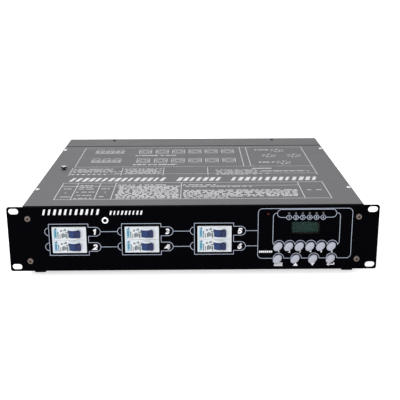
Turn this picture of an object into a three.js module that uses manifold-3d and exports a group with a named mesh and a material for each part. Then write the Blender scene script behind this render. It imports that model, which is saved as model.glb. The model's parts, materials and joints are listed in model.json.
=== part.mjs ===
// A two-unit rack dimmer pack: six dimmed channels, each behind its own circuit breaker.
// Millimetres. +X is to the right of someone facing the front panel, +Y to the rear, +Z up.
// Pieces are placed from the front panel: x = 0 at its middle, y = 0 on its front face,
// z = 0 at its bottom edge. The last lines move the whole unit onto its feet.
import * as THREE from 'three';
import { mergeVertices } from 'three/addons/utils/BufferGeometryUtils.js';
import Module from 'manifold-3d';

// Clearances and counts
const fit = 0.3;
const overrun = 1;
const cornerSteps = 2;
const holeSteps = 10;
const roundSteps = 16;
const hexSteps = 6;

// Front panel and its rack slots
const panelHeight = 88.1;
const panelThickness = 3;
const panelCornerRadius = 3;
const earWidth = 20.45;
const rackSlotInsetX = 8.75;
const rackSlotInsetZ = 5.95;
const rackSlotLength = 12.9;
const rackSlotWidth = 8;

// Room across the case, from its left side to its right: breaker columns, then the controls
const columnInset = 59.05;
const controlRoom = 193.55;
const controlInset = 74.45;

// Heights of the screws, lamps and controls on the panel, as shares of its height
const heightShares = {
  menuButtons: 0.168,
  channelButtons: 0.3645,
  display: 0.648,
  powerLed: 0.874,
  channelLeds: 0.881,
  lowerEarScrews: 0.167,
  upperEarScrews: 0.8275,
  bracketScrew: 0.796,
};

// Case of folded sheet
const caseDepth = 410;
const sheet = 1.5;
const floorRaise = 0.6;
const coverRise = 0.5;
const flangeWidth = 15;
const crossbarHeight = 7;
const crossbarDepth = 12;
const coverGap = 0.8;
const seamGap = 3.2;
const rearStripDepth = 57.6;
const ventCount = 10;
const ventPitch = 10;
const ventWidth = 4;
const ventHeight = 44;
const ventRowY = 200;

// Rubber feet
const footWidth = 15;
const footCorner = 2;
const footHeight = 8;
const footRecessDiameter = 7;
const footRecessDepth = 4;
const footInsetX = 15.15;
const footInsetFront = 21.1;
const footInsetRear = 22;

// Circuit breakers, lying on their sides in stacks
const columnCount = 3;
const modulesPerColumn = 2;
const windowWidth = 44.8;
const windowDrop = 0.6;
const moduleWidth = 17.5;
const noseProud = 1.5;
const noseDepth = 17;
const bodyLength = 80;
const bodyGap = 14.55;
const bodyDepth = 62;
const shoulderBevel = 3;
const terminalWidth = 9;
const terminalDepth = 12;
const terminalInset = 14;

// Breaker levers and the cheeks beside them
const leverOffset = 5.9;
const hingeDepth = 5;
const leverWidth = 9.8;
const drumRadius = 8;
const drumClearance = 0.4;
const leverReach = 13;
const leverNeck = 3.4;
const leverTip = 4.4;
const leverRestAngle = 40;
const cheekRim = 1.2;
const cheekInset = 0.75;

// Rail bracket behind the breakers
const railWidth = 35;
const railDepth = 7.5;
const railChannel = 27;
const railSheet = 1;
const railClearTop = 4;
const hookReach = 2.2;
const hookThickness = 2.5;
const bracketFoot = 15;

// Display behind its window
const displayWindowWidth = 36.8;
const displayWindowHeight = 17.8;
const displayRecess = 9;
const displayBezel = 4.5;
const displayGlassStep = 0.4;
const lensMargin = 3;
const lensThickness = 1.5;

// Control board on its studs
const boardSideGap = 2.45;
const boardTopGap = 2.6;
const boardBottomGap = 4.9;
const boardThickness = 1.6;
const boardSetback = 12;
const studDiameter = 5;
const studInset = 4;
const boardStudSpread = 44;
const switchSize = 6;

// Push buttons
const channelCount = 6;
const channelButtonShift = -1.15;
const menuButtonShift = -1.45;
const menuButtonPitch = 23.3;
const buttonGap = 0.58;
const buttonLength = 13.4;
const buttonWidth = 9.4;
const buttonTilt = 45;
const buttonProud = 2.4;
const buttonDome = 0.9;
const buttonFlange = 0.8;
const buttonFlangeDepth = 1;
const buttonStem = 3.6;
const buttonTravel = 1;
const buttonSteps = 14;

// Lights
const ledDiameter = 3;
const ledProud = 0.8;
const channelLedShift = -0.25;
const channelLedPitch = 8.9;
const ledBarHeight = 6;
const ledBarMargin = 5;
const powerLedInset = 7.6;
const ledSpacerDiameter = 5;
const ledSpacerLength = 7;
const ledSteps = 8;

// Fittings across the rear panel: gland, outlets, then the signal sockets
const rearMargin = 19.35;
const rearGap = 6;

// Mains outlets in the rear panel, as wide as the room between the other fittings lets them be
const outletGap = 1;
const outletFlangeThickness = 2.5;
const outletFlangeCorner = 4;
const outletRimMargin = 3;
const outletRimRise = 2;
const outletRimWall = 2.5;
const outletWellDepth = 17.5;
const outletBodyStep = 0.2;
const outletBodyDepth = 33;
const outletPinSpacing = 19;
const outletPinDiameter = 5.2;
const outletPinDepth = 12;
const earthClipWidth = 6;
const earthClipThickness = 1.8;

// Control signal sockets in the rear panel
const socketWidth = 26;
const socketHeight = 31;
const socketFlangeThickness = 3;
const socketFlangeCorner = 2;
const socketBodyDiameter = 23.6;
const socketBodyDepth = 20;
const socketWellDiameter = 18.6;
const socketWellDepth = 14;
const socketPinCount = 3;
const socketPinDiameter = 2.4;
const socketPinCircle = 10;
const socketPinLength = 11;
const socketGrooveWidth = 1.9;
const socketHoleDepth = 9;
const socketGap = 4;
const latchWidth = 9;
const latchHeight = 3;
const latchThickness = 3.4;
const latchInset = 2;
const latchTravel = 1.4;

// Mains cable gland in the rear panel
const glandBore = 13;
const glandWall = 5.5;
const glandDomeStep = 1;
const glandNutStep = 3;
const glandMouthWall = 2.5;
const glandNutThickness = 6;
const glandDomeLength = 15;
const glandThreadLength = 10;
const glandLockNutThickness = 5;

// Rows across the inside of the case
const innerRowRoom = 70.85;
const innerRowEnd = 12;
const rowGap = 13;
const switchRoom = 26;

// Heat sink and the power switches clamped to it
const sinkDepth = 60;
const sinkBase = 5;
const sinkWall = 6;
const sinkWallHeight = 38;
const sinkFinCount = 7;
const sinkFinThickness = 2.2;
const sinkFinHeight = 30;
const switchPackageWidth = 15;
const switchPackageHeight = 20;
const switchPackageDepth = 5;
const clampBarHeight = 9;
const clampBarThickness = 3;

// Interference chokes
const chokeDiameter = 38;
const chokeBore = 15;
const chokeHeight = 17;
const chokeBevel = 4;
const chokeStrip = 2;
const chokeStripMargin = 2;
const chokeSeat = 0.5;

// Power board
const powerBoardDepth = 74;
const powerBoardRise = 8;
const driverWidth = 22;
const driverDepth = 16;
const driverHeight = 15;
const capacitorDiameter = 13;
const capacitorHeight = 22;

// Mains terminal block
const terminalPoles = 5;
const polePitch = 9;
const poleGroove = 1.2;
const poleGrooveDepth = 2.5;
const terminalBlockSideGap = 10.85;
const terminalBlockInset = 90;
const terminalBlockDepth = 36;
const terminalBlockHeight = 30;
const terminalBlockStep = 9;
const terminalScrewBore = 4.4;
const terminalScrewDepth = 8;

// Control transformer
const transformerSideGap = 3.35;
const transformerY = 150;
const coreWidth = 44;
const coreDepth = 20;
const coreHeight = 38;
const coilWidth = 29;
const coilDepth = 36;
const coilHeight = 26;
const transformerFoot = 2;
const transformerFootWidth = 60;

// Front panel screws
const earScrewInset = 6.55;
const earScrewHead = 7.7;
const earScrewHeadHeight = 2.6;
const earScrewShank = 4;
const earScrewLength = 9;
const earScrewSocket = 4.2;
const earScrewSocketDepth = 1.5;
const bracketScrewOffset = 47.5;
const bracketScrewHead = 8.9;
const bracketScrewHeadHeight = 1.6;
const bracketScrewShank = 5;
const bracketScrewLength = 10;
const bracketScrewSocket = 3.8;
const bracketScrewSocketDepth = 4;

// Earth screw standing out of the cover
const earthScrewClearance = 8.05;
const earthScrewY = 192;
const earthScrewHead = 9;
const earthScrewHeadHeight = 3;
const earthScrewGap = 2.6;
const earthScrewWasher = 7;
const earthScrewWasherHeight = 0.6;
const earthScrewShank = 4;
const earthScrewLength = 7;

// Finishes
const blackPaint = { color: 0x0a0c0f, roughness: 0.45, metalness: 0.1 };
const greyPaint = { color: 0x7d7d7f, roughness: 0.55, metalness: 0.1 };
const blackRubber = { color: 0x111111, roughness: 0.9, metalness: 0 };
const whitePlastic = { color: 0xdadfe3, roughness: 0.45, metalness: 0 };
const bluePlastic = { color: 0x31487a, roughness: 0.4, metalness: 0 };
const greyPlastic = { color: 0xc8cbd7, roughness: 0.5, metalness: 0 };
const blackPlastic = { color: 0x17181a, roughness: 0.5, metalness: 0 };
const clearPlastic = { color: 0x9fb0a8, roughness: 0.1, metalness: 0, transparent: true, opacity: 0.35 };
const greenDisplay = { color: 0x243a32, roughness: 0.2, metalness: 0 };
const greenBoard = { color: 0x1f5a35, roughness: 0.6, metalness: 0 };
const redLight = { color: 0x5a1010, roughness: 0.2, metalness: 0 };
const greyLight = { color: 0x8d8d8d, roughness: 0.3, metalness: 0 };
const zincSteel = { color: 0xb9bcc0, roughness: 0.35, metalness: 0.9 };
const brightSteel = { color: 0xd6d8dc, roughness: 0.2, metalness: 1 };
const bronzeSteel = { color: 0x6d625c, roughness: 0.4, metalness: 0.8 };
const bareAluminium = { color: 0xa6a8ab, roughness: 0.4, metalness: 0.9 };
const copperWire = { color: 0xa4622e, roughness: 0.4, metalness: 0.7 };
const beigePlastic = { color: 0xcfc8b4, roughness: 0.6, metalness: 0 };
const coreSteel = { color: 0x55585c, roughness: 0.6, metalness: 0.6 };

// Widths that follow from what stands side by side
const columnPitch = bodyLength + bodyGap;
const caseWidth = columnInset + (columnCount - 1) * columnPitch + controlRoom;
const panelWidth = caseWidth + 2 * earWidth;
const halfCase = caseWidth / 2;

// Places that several pieces share
const coverTop = panelHeight + coverRise;
const flangeTop = coverTop - sheet;
const caseFloor = floorRaise + sheet;
const rearPanelFront = caseDepth - sheet;
const crossbarBottom = coverTop - crossbarHeight;
const crossbarBack = panelThickness + sheet;
const panelMiddle = panelHeight / 2;
const breakerMiddle = panelMiddle - windowDrop;
const coverFront = crossbarBack + coverGap;
const coverBack = caseDepth - rearStripDepth - seamGap;
const breakerFace = -noseProud;
const breakerBack = breakerFace + bodyDepth;
const hingeY = breakerFace + hingeDepth;
const modulePitch = moduleWidth + fit;
const windowHeight = modulesPerColumn * modulePitch + 2 * fit;
const pocketRadius = drumRadius + drumClearance;
const stemEnd = panelThickness + fit + buttonFlangeDepth + buttonTravel;

// Control board and what is lined up on it
const controlX = halfCase - controlInset;
const boardWidth = 2 * (controlInset - flangeWidth - boardSideGap);
const boardBottom = caseFloor + boardBottomGap;
const boardTop = crossbarBottom - boardTopGap;
const boardZ = (boardBottom + boardTop) / 2;
const boardFront = boardSetback;
const boardBack = boardFront + boardThickness;
const displayZ = panelHeight * heightShares.display;
const channelLedZ = panelHeight * heightShares.channelLeds;
const powerLedX = controlX - boardWidth / 2 + powerLedInset;
const powerLedZ = panelHeight * heightShares.powerLed;

// Fittings in the rear panel
const glandThreadDiameter = glandBore + 2 * glandWall;
const glandDomeDiameter = glandThreadDiameter + 2 * glandDomeStep;
const glandNutWidth = glandThreadDiameter + 2 * glandNutStep;
const glandMouthDiameter = glandBore + 2 * glandMouthWall;
const glandX = -halfCase + rearMargin + glandNutWidth / 2;
const outputSocketX = halfCase - rearMargin - socketWidth / 2;
const inputSocketX = outputSocketX - socketWidth - socketGap;
const outletRowLeft = glandX + glandNutWidth / 2 + rearGap;
const outletRowRight = inputSocketX - socketWidth / 2 - rearGap;
const outletPitch = (outletRowRight - outletRowLeft + outletGap) / channelCount;
const outletFlange = outletPitch - outletGap;
const outletRimDiameter = outletFlange - 2 * outletRimMargin;
const outletWellDiameter = outletRimDiameter - 2 * outletRimWall;
const outletBodyDiameter = outletRimDiameter - 2 * outletBodyStep;
const latchRise = socketHeight / 2 - latchInset - latchHeight / 2;

// Rows inside the case, from the breakers' bracket to the rear
const railPlateFront = breakerBack + fit + railDepth - railSheet;
const innerRowLength = caseWidth - 2 * innerRowRoom;
const innerPitch = (innerRowLength - 2 * innerRowEnd) / channelCount;
const chokeStripDepth = chokeDiameter + 2 * chokeStripMargin;
const chokeRowY = railPlateFront + bracketFoot + rowGap + chokeStripDepth / 2;
const sinkFrontY = chokeRowY + chokeStripDepth / 2 + switchRoom;
const powerBoardFrontY = sinkFrontY + sinkDepth + rowGap;
const powerBoardBottom = caseFloor + powerBoardRise;
const terminalBlockX = -halfCase + sheet + terminalBlockSideGap + (terminalPoles * polePitch) / 2;
const terminalBlockY = caseDepth - terminalBlockInset;
const transformerX = halfCase - sheet - transformerSideGap - transformerFootWidth / 2;

const wasm = await Module();
wasm.setup();

// Solids from three.js geometry, joined and cut by manifold-3d
function solidOf(geometry) {
  const bare = geometry.clone();
  bare.deleteAttribute('normal');
  bare.deleteAttribute('uv');
  const merged = mergeVertices(bare);
  const corners = merged.index.array;
  const kept = [];
  for (let i = 0; i < corners.length; i += 3) {
    const [a, b, c] = [corners[i], corners[i + 1], corners[i + 2]];
    if (a !== b && b !== c && c !== a) kept.push(a, b, c);
  }
  const made = manifoldOf(merged.attributes.position.array, kept);
  return made.volume() > 0 ? made : manifoldOf(merged.attributes.position.array, kept.reverse());
}

function manifoldOf(vertProperties, corners) {
  const triVerts = Uint32Array.from(corners);
  return new wasm.Manifold(new wasm.Mesh({ numProp: 3, vertProperties, triVerts }));
}

function geometryOf(solid) {
  const mesh = solid.getMesh();
  const geometry = new THREE.BufferGeometry();
  geometry.setAttribute('position', new THREE.BufferAttribute(mesh.vertProperties, 3));
  geometry.setIndex(new THREE.BufferAttribute(mesh.triVerts, 1));
  geometry.computeVertexNormals();
  return geometry;
}

function join(solids) {
  return solids.reduce((whole, next) => whole.add(next));
}

function cut(solid, tools) {
  return solid.subtract(join(tools));
}

// Outlines as lists of points
function arcPoints(x, y, radius, fromDegrees, toDegrees, steps) {
  const points = [];
  for (let i = 0; i <= steps; i += 1) {
    const angle = THREE.MathUtils.degToRad(fromDegrees + ((toDegrees - fromDegrees) * i) / steps);
    points.push(new THREE.Vector2(x + radius * Math.cos(angle), y + radius * Math.sin(angle)));
  }
  return points;
}

function circle(x, y, diameter, steps = holeSteps) {
  return arcPoints(x, y, diameter / 2, 0, 360, steps).slice(1);
}

function rectangle(x, y, width, height) {
  const [w, h] = [width / 2, height / 2];
  return [[-w, -h], [w, -h], [w, h], [-w, h]].map(([dx, dy]) => new THREE.Vector2(x + dx, y + dy));
}

function roundedRectangle(x, y, width, height, radius) {
  const [w, h] = [width / 2 - radius, height / 2 - radius];
  return [
    ...arcPoints(x + w, y - h, radius, -90, 0, cornerSteps),
    ...arcPoints(x + w, y + h, radius, 0, 90, cornerSteps),
    ...arcPoints(x - w, y + h, radius, 90, 180, cornerSteps),
    ...arcPoints(x - w, y - h, radius, 180, 270, cornerSteps),
  ];
}

function slot(x, y, length, width) {
  const run = (length - width) / 2;
  return [
    ...arcPoints(x + run, y, width / 2, -90, 90, 2 * cornerSteps),
    ...arcPoints(x - run, y, width / 2, 90, 270, 2 * cornerSteps),
  ];
}

function tiltedOval(x, y, length, width) {
  const tilt = THREE.MathUtils.degToRad(buttonTilt);
  return arcPoints(0, 0, 1, 0, 360, buttonSteps).slice(1).map((p) => {
    const along = (p.x * length) / 2;
    const across = (p.y * width) / 2;
    return new THREE.Vector2(
      x + along * Math.cos(tilt) - across * Math.sin(tilt),
      y + along * Math.sin(tilt) + across * Math.cos(tilt),
    );
  });
}

// Prisms: an outline in one plane, run along the third axis
const planeXZ = new THREE.Matrix4().makeBasis(
  new THREE.Vector3(1, 0, 0), new THREE.Vector3(0, 0, 1), new THREE.Vector3(0, -1, 0));
const planeYZ = new THREE.Matrix4().makeBasis(
  new THREE.Vector3(0, 1, 0), new THREE.Vector3(0, 0, 1), new THREE.Vector3(1, 0, 0));

function prism(outline, depth, holes = []) {
  const shape = new THREE.Shape(outline);
  shape.holes = holes.map((hole) => new THREE.Path(hole));
  return new THREE.ExtrudeGeometry(shape, { depth, bevelEnabled: false });
}

function prismAlongY(outline, fromY, toY, holes = []) {
  return solidOf(prism(outline, toY - fromY, holes).applyMatrix4(planeXZ).translate(0, toY, 0));
}

function prismAlongX(outline, fromX, toX) {
  return solidOf(prism(outline, toX - fromX).applyMatrix4(planeYZ).translate(fromX, 0, 0));
}

function prismAlongZ(outline, fromZ, toZ) {
  return solidOf(prism(outline, toZ - fromZ).translate(0, 0, fromZ));
}

function block(fromX, toX, fromY, toY, fromZ, toZ) {
  const geometry = new THREE.BoxGeometry(toX - fromX, toY - fromY, toZ - fromZ);
  return solidOf(geometry.translate((fromX + toX) / 2, (fromY + toY) / 2, (fromZ + toZ) / 2));
}

// Turned shapes: a profile of [radius, place] pairs that starts and ends on the axis
function turnedAlongY(profile, steps = roundSteps) {
  return new THREE.LatheGeometry(profile.map(([radius, y]) => new THREE.Vector2(radius, y)), steps);
}

function turnedAlongZ(profile, steps = roundSteps) {
  return turnedAlongY(profile, steps).rotateX(Math.PI / 2);
}

const unit = new THREE.Group();

function piece(name, geometry, finish, x = 0, y = 0, z = 0) {
  const mesh = new THREE.Mesh(geometry, new THREE.MeshStandardMaterial(finish));
  mesh.name = name;
  mesh.position.set(x, y, z);
  unit.add(mesh);
  return mesh;
}

// Repeated places
function rowAbout(middle, count, pitch) {
  return Array.from({ length: count }, (_, i) => middle + (i - (count - 1) / 2) * pitch);
}

const columnXs = Array.from({ length: columnCount }, (_, i) => -halfCase + columnInset + i * columnPitch);
const channelButtonXs = rowAbout(controlX + channelButtonShift, channelCount, buttonLength + buttonGap);
const menuButtonNames = ['menu_button', 'up_button', 'down_button', 'escape_button'];
const menuButtonXs = rowAbout(controlX + menuButtonShift, menuButtonNames.length, menuButtonPitch);
const channelLedXs = rowAbout(controlX + channelLedShift, channelCount, channelLedPitch);
const outletXs = rowAbout((outletRowLeft + outletRowRight) / 2, channelCount, outletPitch);
const innerXs = rowAbout(0, channelCount, innerPitch);
const channelButtonZ = panelHeight * heightShares.channelButtons;
const menuButtonZ = panelHeight * heightShares.menuButtons;
const buttonPlaces = [
  ...channelButtonXs.map((x, i) => [`channel_button_${i + 1}`, x, channelButtonZ]),
  ...menuButtonXs.map((x, i) => [menuButtonNames[i], x, menuButtonZ]),
];
const earScrewPlaces = [['left', -1], ['right', 1]].flatMap(([side, sign]) => (
  [['upper', heightShares.upperEarScrews], ['lower', heightShares.lowerEarScrews]].map(([end, share]) => (
    [`ear_screw_${side}_${end}`, sign * (halfCase - earScrewInset), panelHeight * share]))));
const bracketScrewX = columnXs[0] + bracketScrewOffset;
const bracketScrewZ = panelHeight * heightShares.bracketScrew;
const earthScrewX = -halfCase + flangeWidth + earthScrewClearance;
const boardStudPlaces = [-1, 1].flatMap((side) => [-1, 1].map((end) => [
  controlX + side * (boardWidth / 2 - studInset),
  boardZ + (end * boardStudSpread) / 2,
]));
const spacerPlaces = [-1, 1].flatMap((side) => [0, 1].map((end) => [
  side * (innerRowLength / 2 - studInset),
  powerBoardFrontY + studInset + end * (powerBoardDepth - 2 * studInset),
]));

// Front panel: one plate with every cut-out, and the studs that carry the control board
function frontPanel() {
  const slotPlaces = [-1, 1].flatMap((side) => [-1, 1].map((end) => [
    side * (panelWidth / 2 - rackSlotInsetX),
    panelMiddle + end * (panelHeight / 2 - rackSlotInsetZ),
  ]));
  const holes = [
    ...slotPlaces.map(([x, z]) => slot(x, z, rackSlotLength, rackSlotWidth)),
    ...columnXs.map((x) => rectangle(x, breakerMiddle, windowWidth, windowHeight)),
    rectangle(controlX, displayZ, displayWindowWidth, displayWindowHeight),
    ...buttonPlaces.map(([, x, z]) => tiltedOval(x, z, buttonLength + 2 * fit, buttonWidth + 2 * fit)),
    ...channelLedXs.map((x) => circle(x, channelLedZ, ledDiameter + 2 * fit, ledSteps)),
    circle(powerLedX, powerLedZ, ledDiameter + 2 * fit, ledSteps),
    ...earScrewPlaces.map(([, x, z]) => circle(x, z, earScrewShank + 2 * fit)),
    circle(bracketScrewX, bracketScrewZ, bracketScrewShank + 2 * fit),
  ];
  const outline = roundedRectangle(0, panelMiddle, panelWidth, panelHeight, panelCornerRadius);
  const plate = cut(
    prismAlongY(outline, 0, panelThickness),
    holes.map((hole) => prismAlongY(hole, -overrun, panelThickness + overrun)));
  const studs = boardStudPlaces.map(([x, z]) => (
    prismAlongY(circle(x, z, studDiameter), panelThickness / 2, boardFront)));
  return geometryOf(join([plate, ...studs]));
}

// Chassis tray: floor, two sides and their folded flanges, open to the front, rear and top
function chassisTray() {
  const front = panelThickness;
  const walls = [block(-halfCase, halfCase, front, rearPanelFront, floorRaise, caseFloor)];
  for (const side of [-1, 1]) {
    const outer = side * halfCase;
    const inner = side * (halfCase - sheet);
    const lip = side * (halfCase - flangeWidth);
    const [skinFrom, skinTo] = [Math.min(outer, inner), Math.max(outer, inner)];
    const [lipFrom, lipTo] = [Math.min(outer, lip), Math.max(outer, lip)];
    walls.push(
      block(skinFrom, skinTo, front, rearPanelFront, floorRaise, flangeTop),
      block(lipFrom, lipTo, front, rearPanelFront, flangeTop - sheet, flangeTop),
      block(lipFrom, lipTo, front, front + sheet, floorRaise, flangeTop),
      block(lipFrom, lipTo, rearPanelFront - sheet, rearPanelFront, floorRaise, flangeTop),
    );
  }
  const vents = Array.from({ length: ventCount }, (_, i) => {
    const y = ventRowY + (i - (ventCount - 1) / 2) * ventPitch;
    const upright = slot(panelMiddle, -y, ventHeight, ventWidth).map((p) => new THREE.Vector2(-p.y, p.x));
    return prismAlongX(upright, -halfCase - overrun, halfCase + overrun);
  });
  const crossbarNotch = block(
    -halfCase - overrun, halfCase + overrun, front - overrun, crossbarBack, crossbarBottom - fit, coverTop);
  const screwHoles = earScrewPlaces.map(([, x, z]) => (
    prismAlongY(circle(x, z, earScrewShank + 2 * fit), front - overrun, front + sheet + overrun)));
  return geometryOf(cut(join(walls), [...vents, crossbarNotch, ...screwHoles]));
}

// Crossbar: an angle across the front that carries the cover's edge
function frontCrossbar() {
  const inner = halfCase - flangeWidth - fit;
  return geometryOf(join([
    block(-halfCase, halfCase, panelThickness, crossbarBack, crossbarBottom, coverTop),
    block(-inner, inner, panelThickness, panelThickness + crossbarDepth, flangeTop - sheet, flangeTop),
  ]));
}

// Rear panel: an upright plate whose top is folded forward as a strip of the top face
function rearPanel() {
  const walls = join([
    block(-halfCase, halfCase, rearPanelFront, caseDepth, floorRaise, coverTop),
    block(-halfCase, halfCase, caseDepth - rearStripDepth, caseDepth, flangeTop, coverTop),
  ]);
  const hole = (x, diameter) => prismAlongY(
    circle(x, panelMiddle, diameter + 2 * fit, roundSteps), rearPanelFront - overrun, caseDepth + overrun);
  return geometryOf(cut(walls, [
    ...outletXs.map((x) => hole(x, outletBodyDiameter)),
    hole(inputSocketX, socketBodyDiameter),
    hole(outputSocketX, socketBodyDiameter),
    hole(glandX, glandThreadDiameter),
  ]));
}

// Top cover: a flat sheet on the tray's flanges and the crossbar
function topCover() {
  const plate = block(-halfCase, halfCase, coverFront, coverBack, flangeTop, coverTop);
  const hole = prismAlongZ(
    circle(earthScrewX, earthScrewY, earthScrewShank + 2 * fit), flangeTop - overrun, coverTop + overrun);
  return geometryOf(cut(plate, [hole]));
}

piece('front_panel', frontPanel(), blackPaint);
piece('chassis_tray', chassisTray(), greyPaint);
piece('front_crossbar', frontCrossbar(), blackPaint);
piece('rear_panel', rearPanel(), greyPaint);
piece('top_cover', topCover(), greyPaint);

// Feet under the tray's corners
const footTop = floorRaise;
const footX = halfCase - footInsetX;
const footPlaces = [
  ['foot_front_left', -footX, footInsetFront],
  ['foot_front_right', footX, footInsetFront],
  ['foot_rear_left', -footX, caseDepth - footInsetRear],
  ['foot_rear_right', footX, caseDepth - footInsetRear],
];

// Foot: a square block with a screw's recess in its underside
function rubberFoot() {
  const blockOutline = roundedRectangle(0, 0, footWidth, footWidth, footCorner);
  const recess = prismAlongZ(
    circle(0, 0, footRecessDiameter, roundSteps), -footHeight - overrun, -footHeight + footRecessDepth);
  return geometryOf(cut(prismAlongZ(blockOutline, -footHeight, 0), [recess]));
}
for (const [name, x, y] of footPlaces) piece(name, rubberFoot(), blackRubber, x, y, footTop);

// Breaker body: nose through the panel window, shoulders behind it, hooks round the rail's brims
function breakerBody() {
  const nose = (windowWidth - 2 * fit) / 2;
  const half = bodyLength / 2;
  const shoulder = breakerFace + noseDepth;
  const brim = railWidth / 2;
  const lip = breakerBack + 2 * fit + railSheet;
  const side = (sign) => [
    [sign * nose, breakerFace],
    [sign * nose, shoulder],
    [sign * (half - shoulderBevel), shoulder],
    [sign * half, shoulder + shoulderBevel],
    [sign * half, breakerBack],
    [sign * (brim + fit + hookThickness), breakerBack],
    [sign * (brim + fit + hookThickness), lip + hookThickness],
    [sign * (brim - hookReach), lip + hookThickness],
    [sign * (brim - hookReach), lip],
    [sign * (brim + fit), lip],
    [sign * (brim + fit), breakerBack],
  ];
  const profile = [...side(1), ...side(-1).reverse()].map(([x, y]) => new THREE.Vector2(x, y));
  const slotHalf = leverWidth / 2 + fit;
  const cheekOutside = moduleWidth / 2 - cheekInset;
  const cheeks = [-1, 1].map((sign) => {
    const [from, to] = [sign * slotHalf, sign * cheekOutside].sort((a, b) => a - b);
    return prismAlongZ(circle(leverOffset, hingeY, 2 * (pocketRadius + cheekRim), holeSteps), from, to);
  });
  const pocket = prismAlongZ(
    circle(leverOffset, hingeY, 2 * pocketRadius, roundSteps), -slotHalf, slotHalf);
  const terminals = [-1, 1].map((sign) => {
    const [from, to] = [sign * (half - terminalDepth), sign * (half + overrun)].sort((a, b) => a - b);
    const y = shoulder + terminalInset;
    return block(
      from, to, y - terminalWidth / 2, y + terminalWidth / 2, -terminalWidth / 2, terminalWidth / 2);
  });
  const body = join([prismAlongZ(profile, -moduleWidth / 2, moduleWidth / 2), ...cheeks]);
  return geometryOf(cut(body, [pocket, ...terminals]));
}

// Lever: a drum on its hinge with a handle that leans to one side; its own origin is the hinge
function breakerLever() {
  const direction = -90 + leverRestAngle;
  const neckAngle = THREE.MathUtils.radToDeg(Math.asin(leverNeck / 2 / drumRadius));
  const tipCentre = leverReach - leverTip / 2;
  const lean = THREE.MathUtils.degToRad(direction);
  const outline = [
    ...arcPoints(0, 0, drumRadius, direction + neckAngle, direction - neckAngle + 360, roundSteps),
    ...arcPoints(tipCentre * Math.cos(lean), tipCentre * Math.sin(lean), leverTip / 2,
      direction - 90, direction + 90, 2 * cornerSteps),
  ];
  return geometryOf(prismAlongZ(outline, -leverWidth / 2, leverWidth / 2));
}

// Breakers are numbered down each column, then column by column to the right
for (let column = 0; column < columnCount; column += 1) {
  for (let row = 0; row < modulesPerColumn; row += 1) {
    const number = column * modulesPerColumn + row + 1;
    const x = columnXs[column];
    const z = breakerMiddle + ((modulesPerColumn - 1) / 2 - row) * modulePitch;
    piece(`breaker_body_${number}`, breakerBody(), whitePlastic, x, 0, z);
    piece(`breaker_lever_${number}`, breakerLever(), bluePlastic, x + leverOffset, hingeY, z);
  }
}

// Rail bracket: a plate on a foot, with one hat-section rail behind each column
function railBracket() {
  const brimFront = breakerBack + fit;
  const plateFront = railPlateFront;
  const [left, right] = [columnXs[0] - bodyLength / 2, columnXs[columnCount - 1] + bodyLength / 2];
  const top = flangeTop - railClearTop;
  const rails = columnXs.map((x) => {
    const side = (sign) => [
      [sign * (railWidth / 2), brimFront],
      [sign * (railWidth / 2), brimFront + railSheet],
      [sign * (railChannel / 2), brimFront + railSheet],
      [sign * (railChannel / 2), plateFront + railSheet],
    ];
    const inside = (sign) => [
      [sign * (railChannel / 2 - railSheet), plateFront],
      [sign * (railChannel / 2 - railSheet), brimFront],
    ];
    const hat = [...side(-1), ...side(1).reverse(), ...inside(1).reverse(), ...inside(-1)];
    return prismAlongZ(hat.map(([dx, y]) => new THREE.Vector2(x + dx, y)), caseFloor + railClearTop, top);
  });
  const plate = block(left, right, plateFront, plateFront + sheet, caseFloor, top);
  const foot = block(left, right, plateFront, plateFront + bracketFoot, caseFloor, caseFloor + sheet);
  return geometryOf(join([plate, foot, ...rails]));
}
piece('rail_bracket', railBracket(), zincSteel);

// Display window: a clear sheet behind the panel
piece('display_window', geometryOf(block(
  controlX - displayWindowWidth / 2 - lensMargin, controlX + displayWindowWidth / 2 + lensMargin,
  panelThickness, panelThickness + lensThickness,
  displayZ - displayWindowHeight / 2 - lensMargin, displayZ + displayWindowHeight / 2 + lensMargin,
)), clearPlastic);

// Display module: a bezel on the control board, its glass set back a little
function displayModule() {
  const [w, h] = [displayWindowWidth / 2, displayWindowHeight / 2];
  const frame = block(
    controlX - w - displayBezel, controlX + w + displayBezel, displayRecess, boardFront,
    displayZ - h - displayBezel, displayZ + h + displayBezel);
  const glass = block(
    controlX - w, controlX + w, displayRecess - overrun, displayRecess + displayGlassStep,
    displayZ - h, displayZ + h);
  return geometryOf(cut(frame, [glass]));
}
piece('display_module', displayModule(), greenDisplay);

// Control board with one key switch behind each button
function controlBoard() {
  const board = block(
    controlX - boardWidth / 2, controlX + boardWidth / 2, boardFront, boardBack, boardBottom, boardTop);
  const switches = buttonPlaces.map(([, x, z]) => (
    prismAlongY(rectangle(x, z, switchSize, switchSize), stemEnd + fit, boardFront + boardThickness / 2)));
  return geometryOf(join([board, ...switches]));
}
piece('control_board', controlBoard(), greenBoard);

// Push button: a domed oval cap through the panel, a flange behind it and a short stem
function pushButton() {
  const radius = buttonLength / 2;
  const flangeFront = panelThickness + fit;
  const flangeBack = flangeFront + buttonFlangeDepth;
  const domeShares = [[0, 1], [0.55, 0.8], [0.9, 0.35], [1, 0]];
  const profile = [
    ...domeShares.map(([out, up]) => [radius * out, -buttonProud - buttonDome * up]),
    [radius, flangeFront],
    [radius + buttonFlange, flangeFront],
    [radius + buttonFlange, flangeBack],
    [buttonStem / 2, flangeBack],
    [buttonStem / 2, stemEnd - buttonTravel],
    [0, stemEnd - buttonTravel],
  ];
  const geometry = turnedAlongY(profile, buttonSteps);
  geometry.scale(1, 1, buttonWidth / buttonLength);
  geometry.rotateY(THREE.MathUtils.degToRad(-buttonTilt));
  return geometryOf(solidOf(geometry));
}
for (const [name, x, z] of buttonPlaces) {
  piece(name, pushButton(), greyPlastic, x, 0, z);
}

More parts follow.
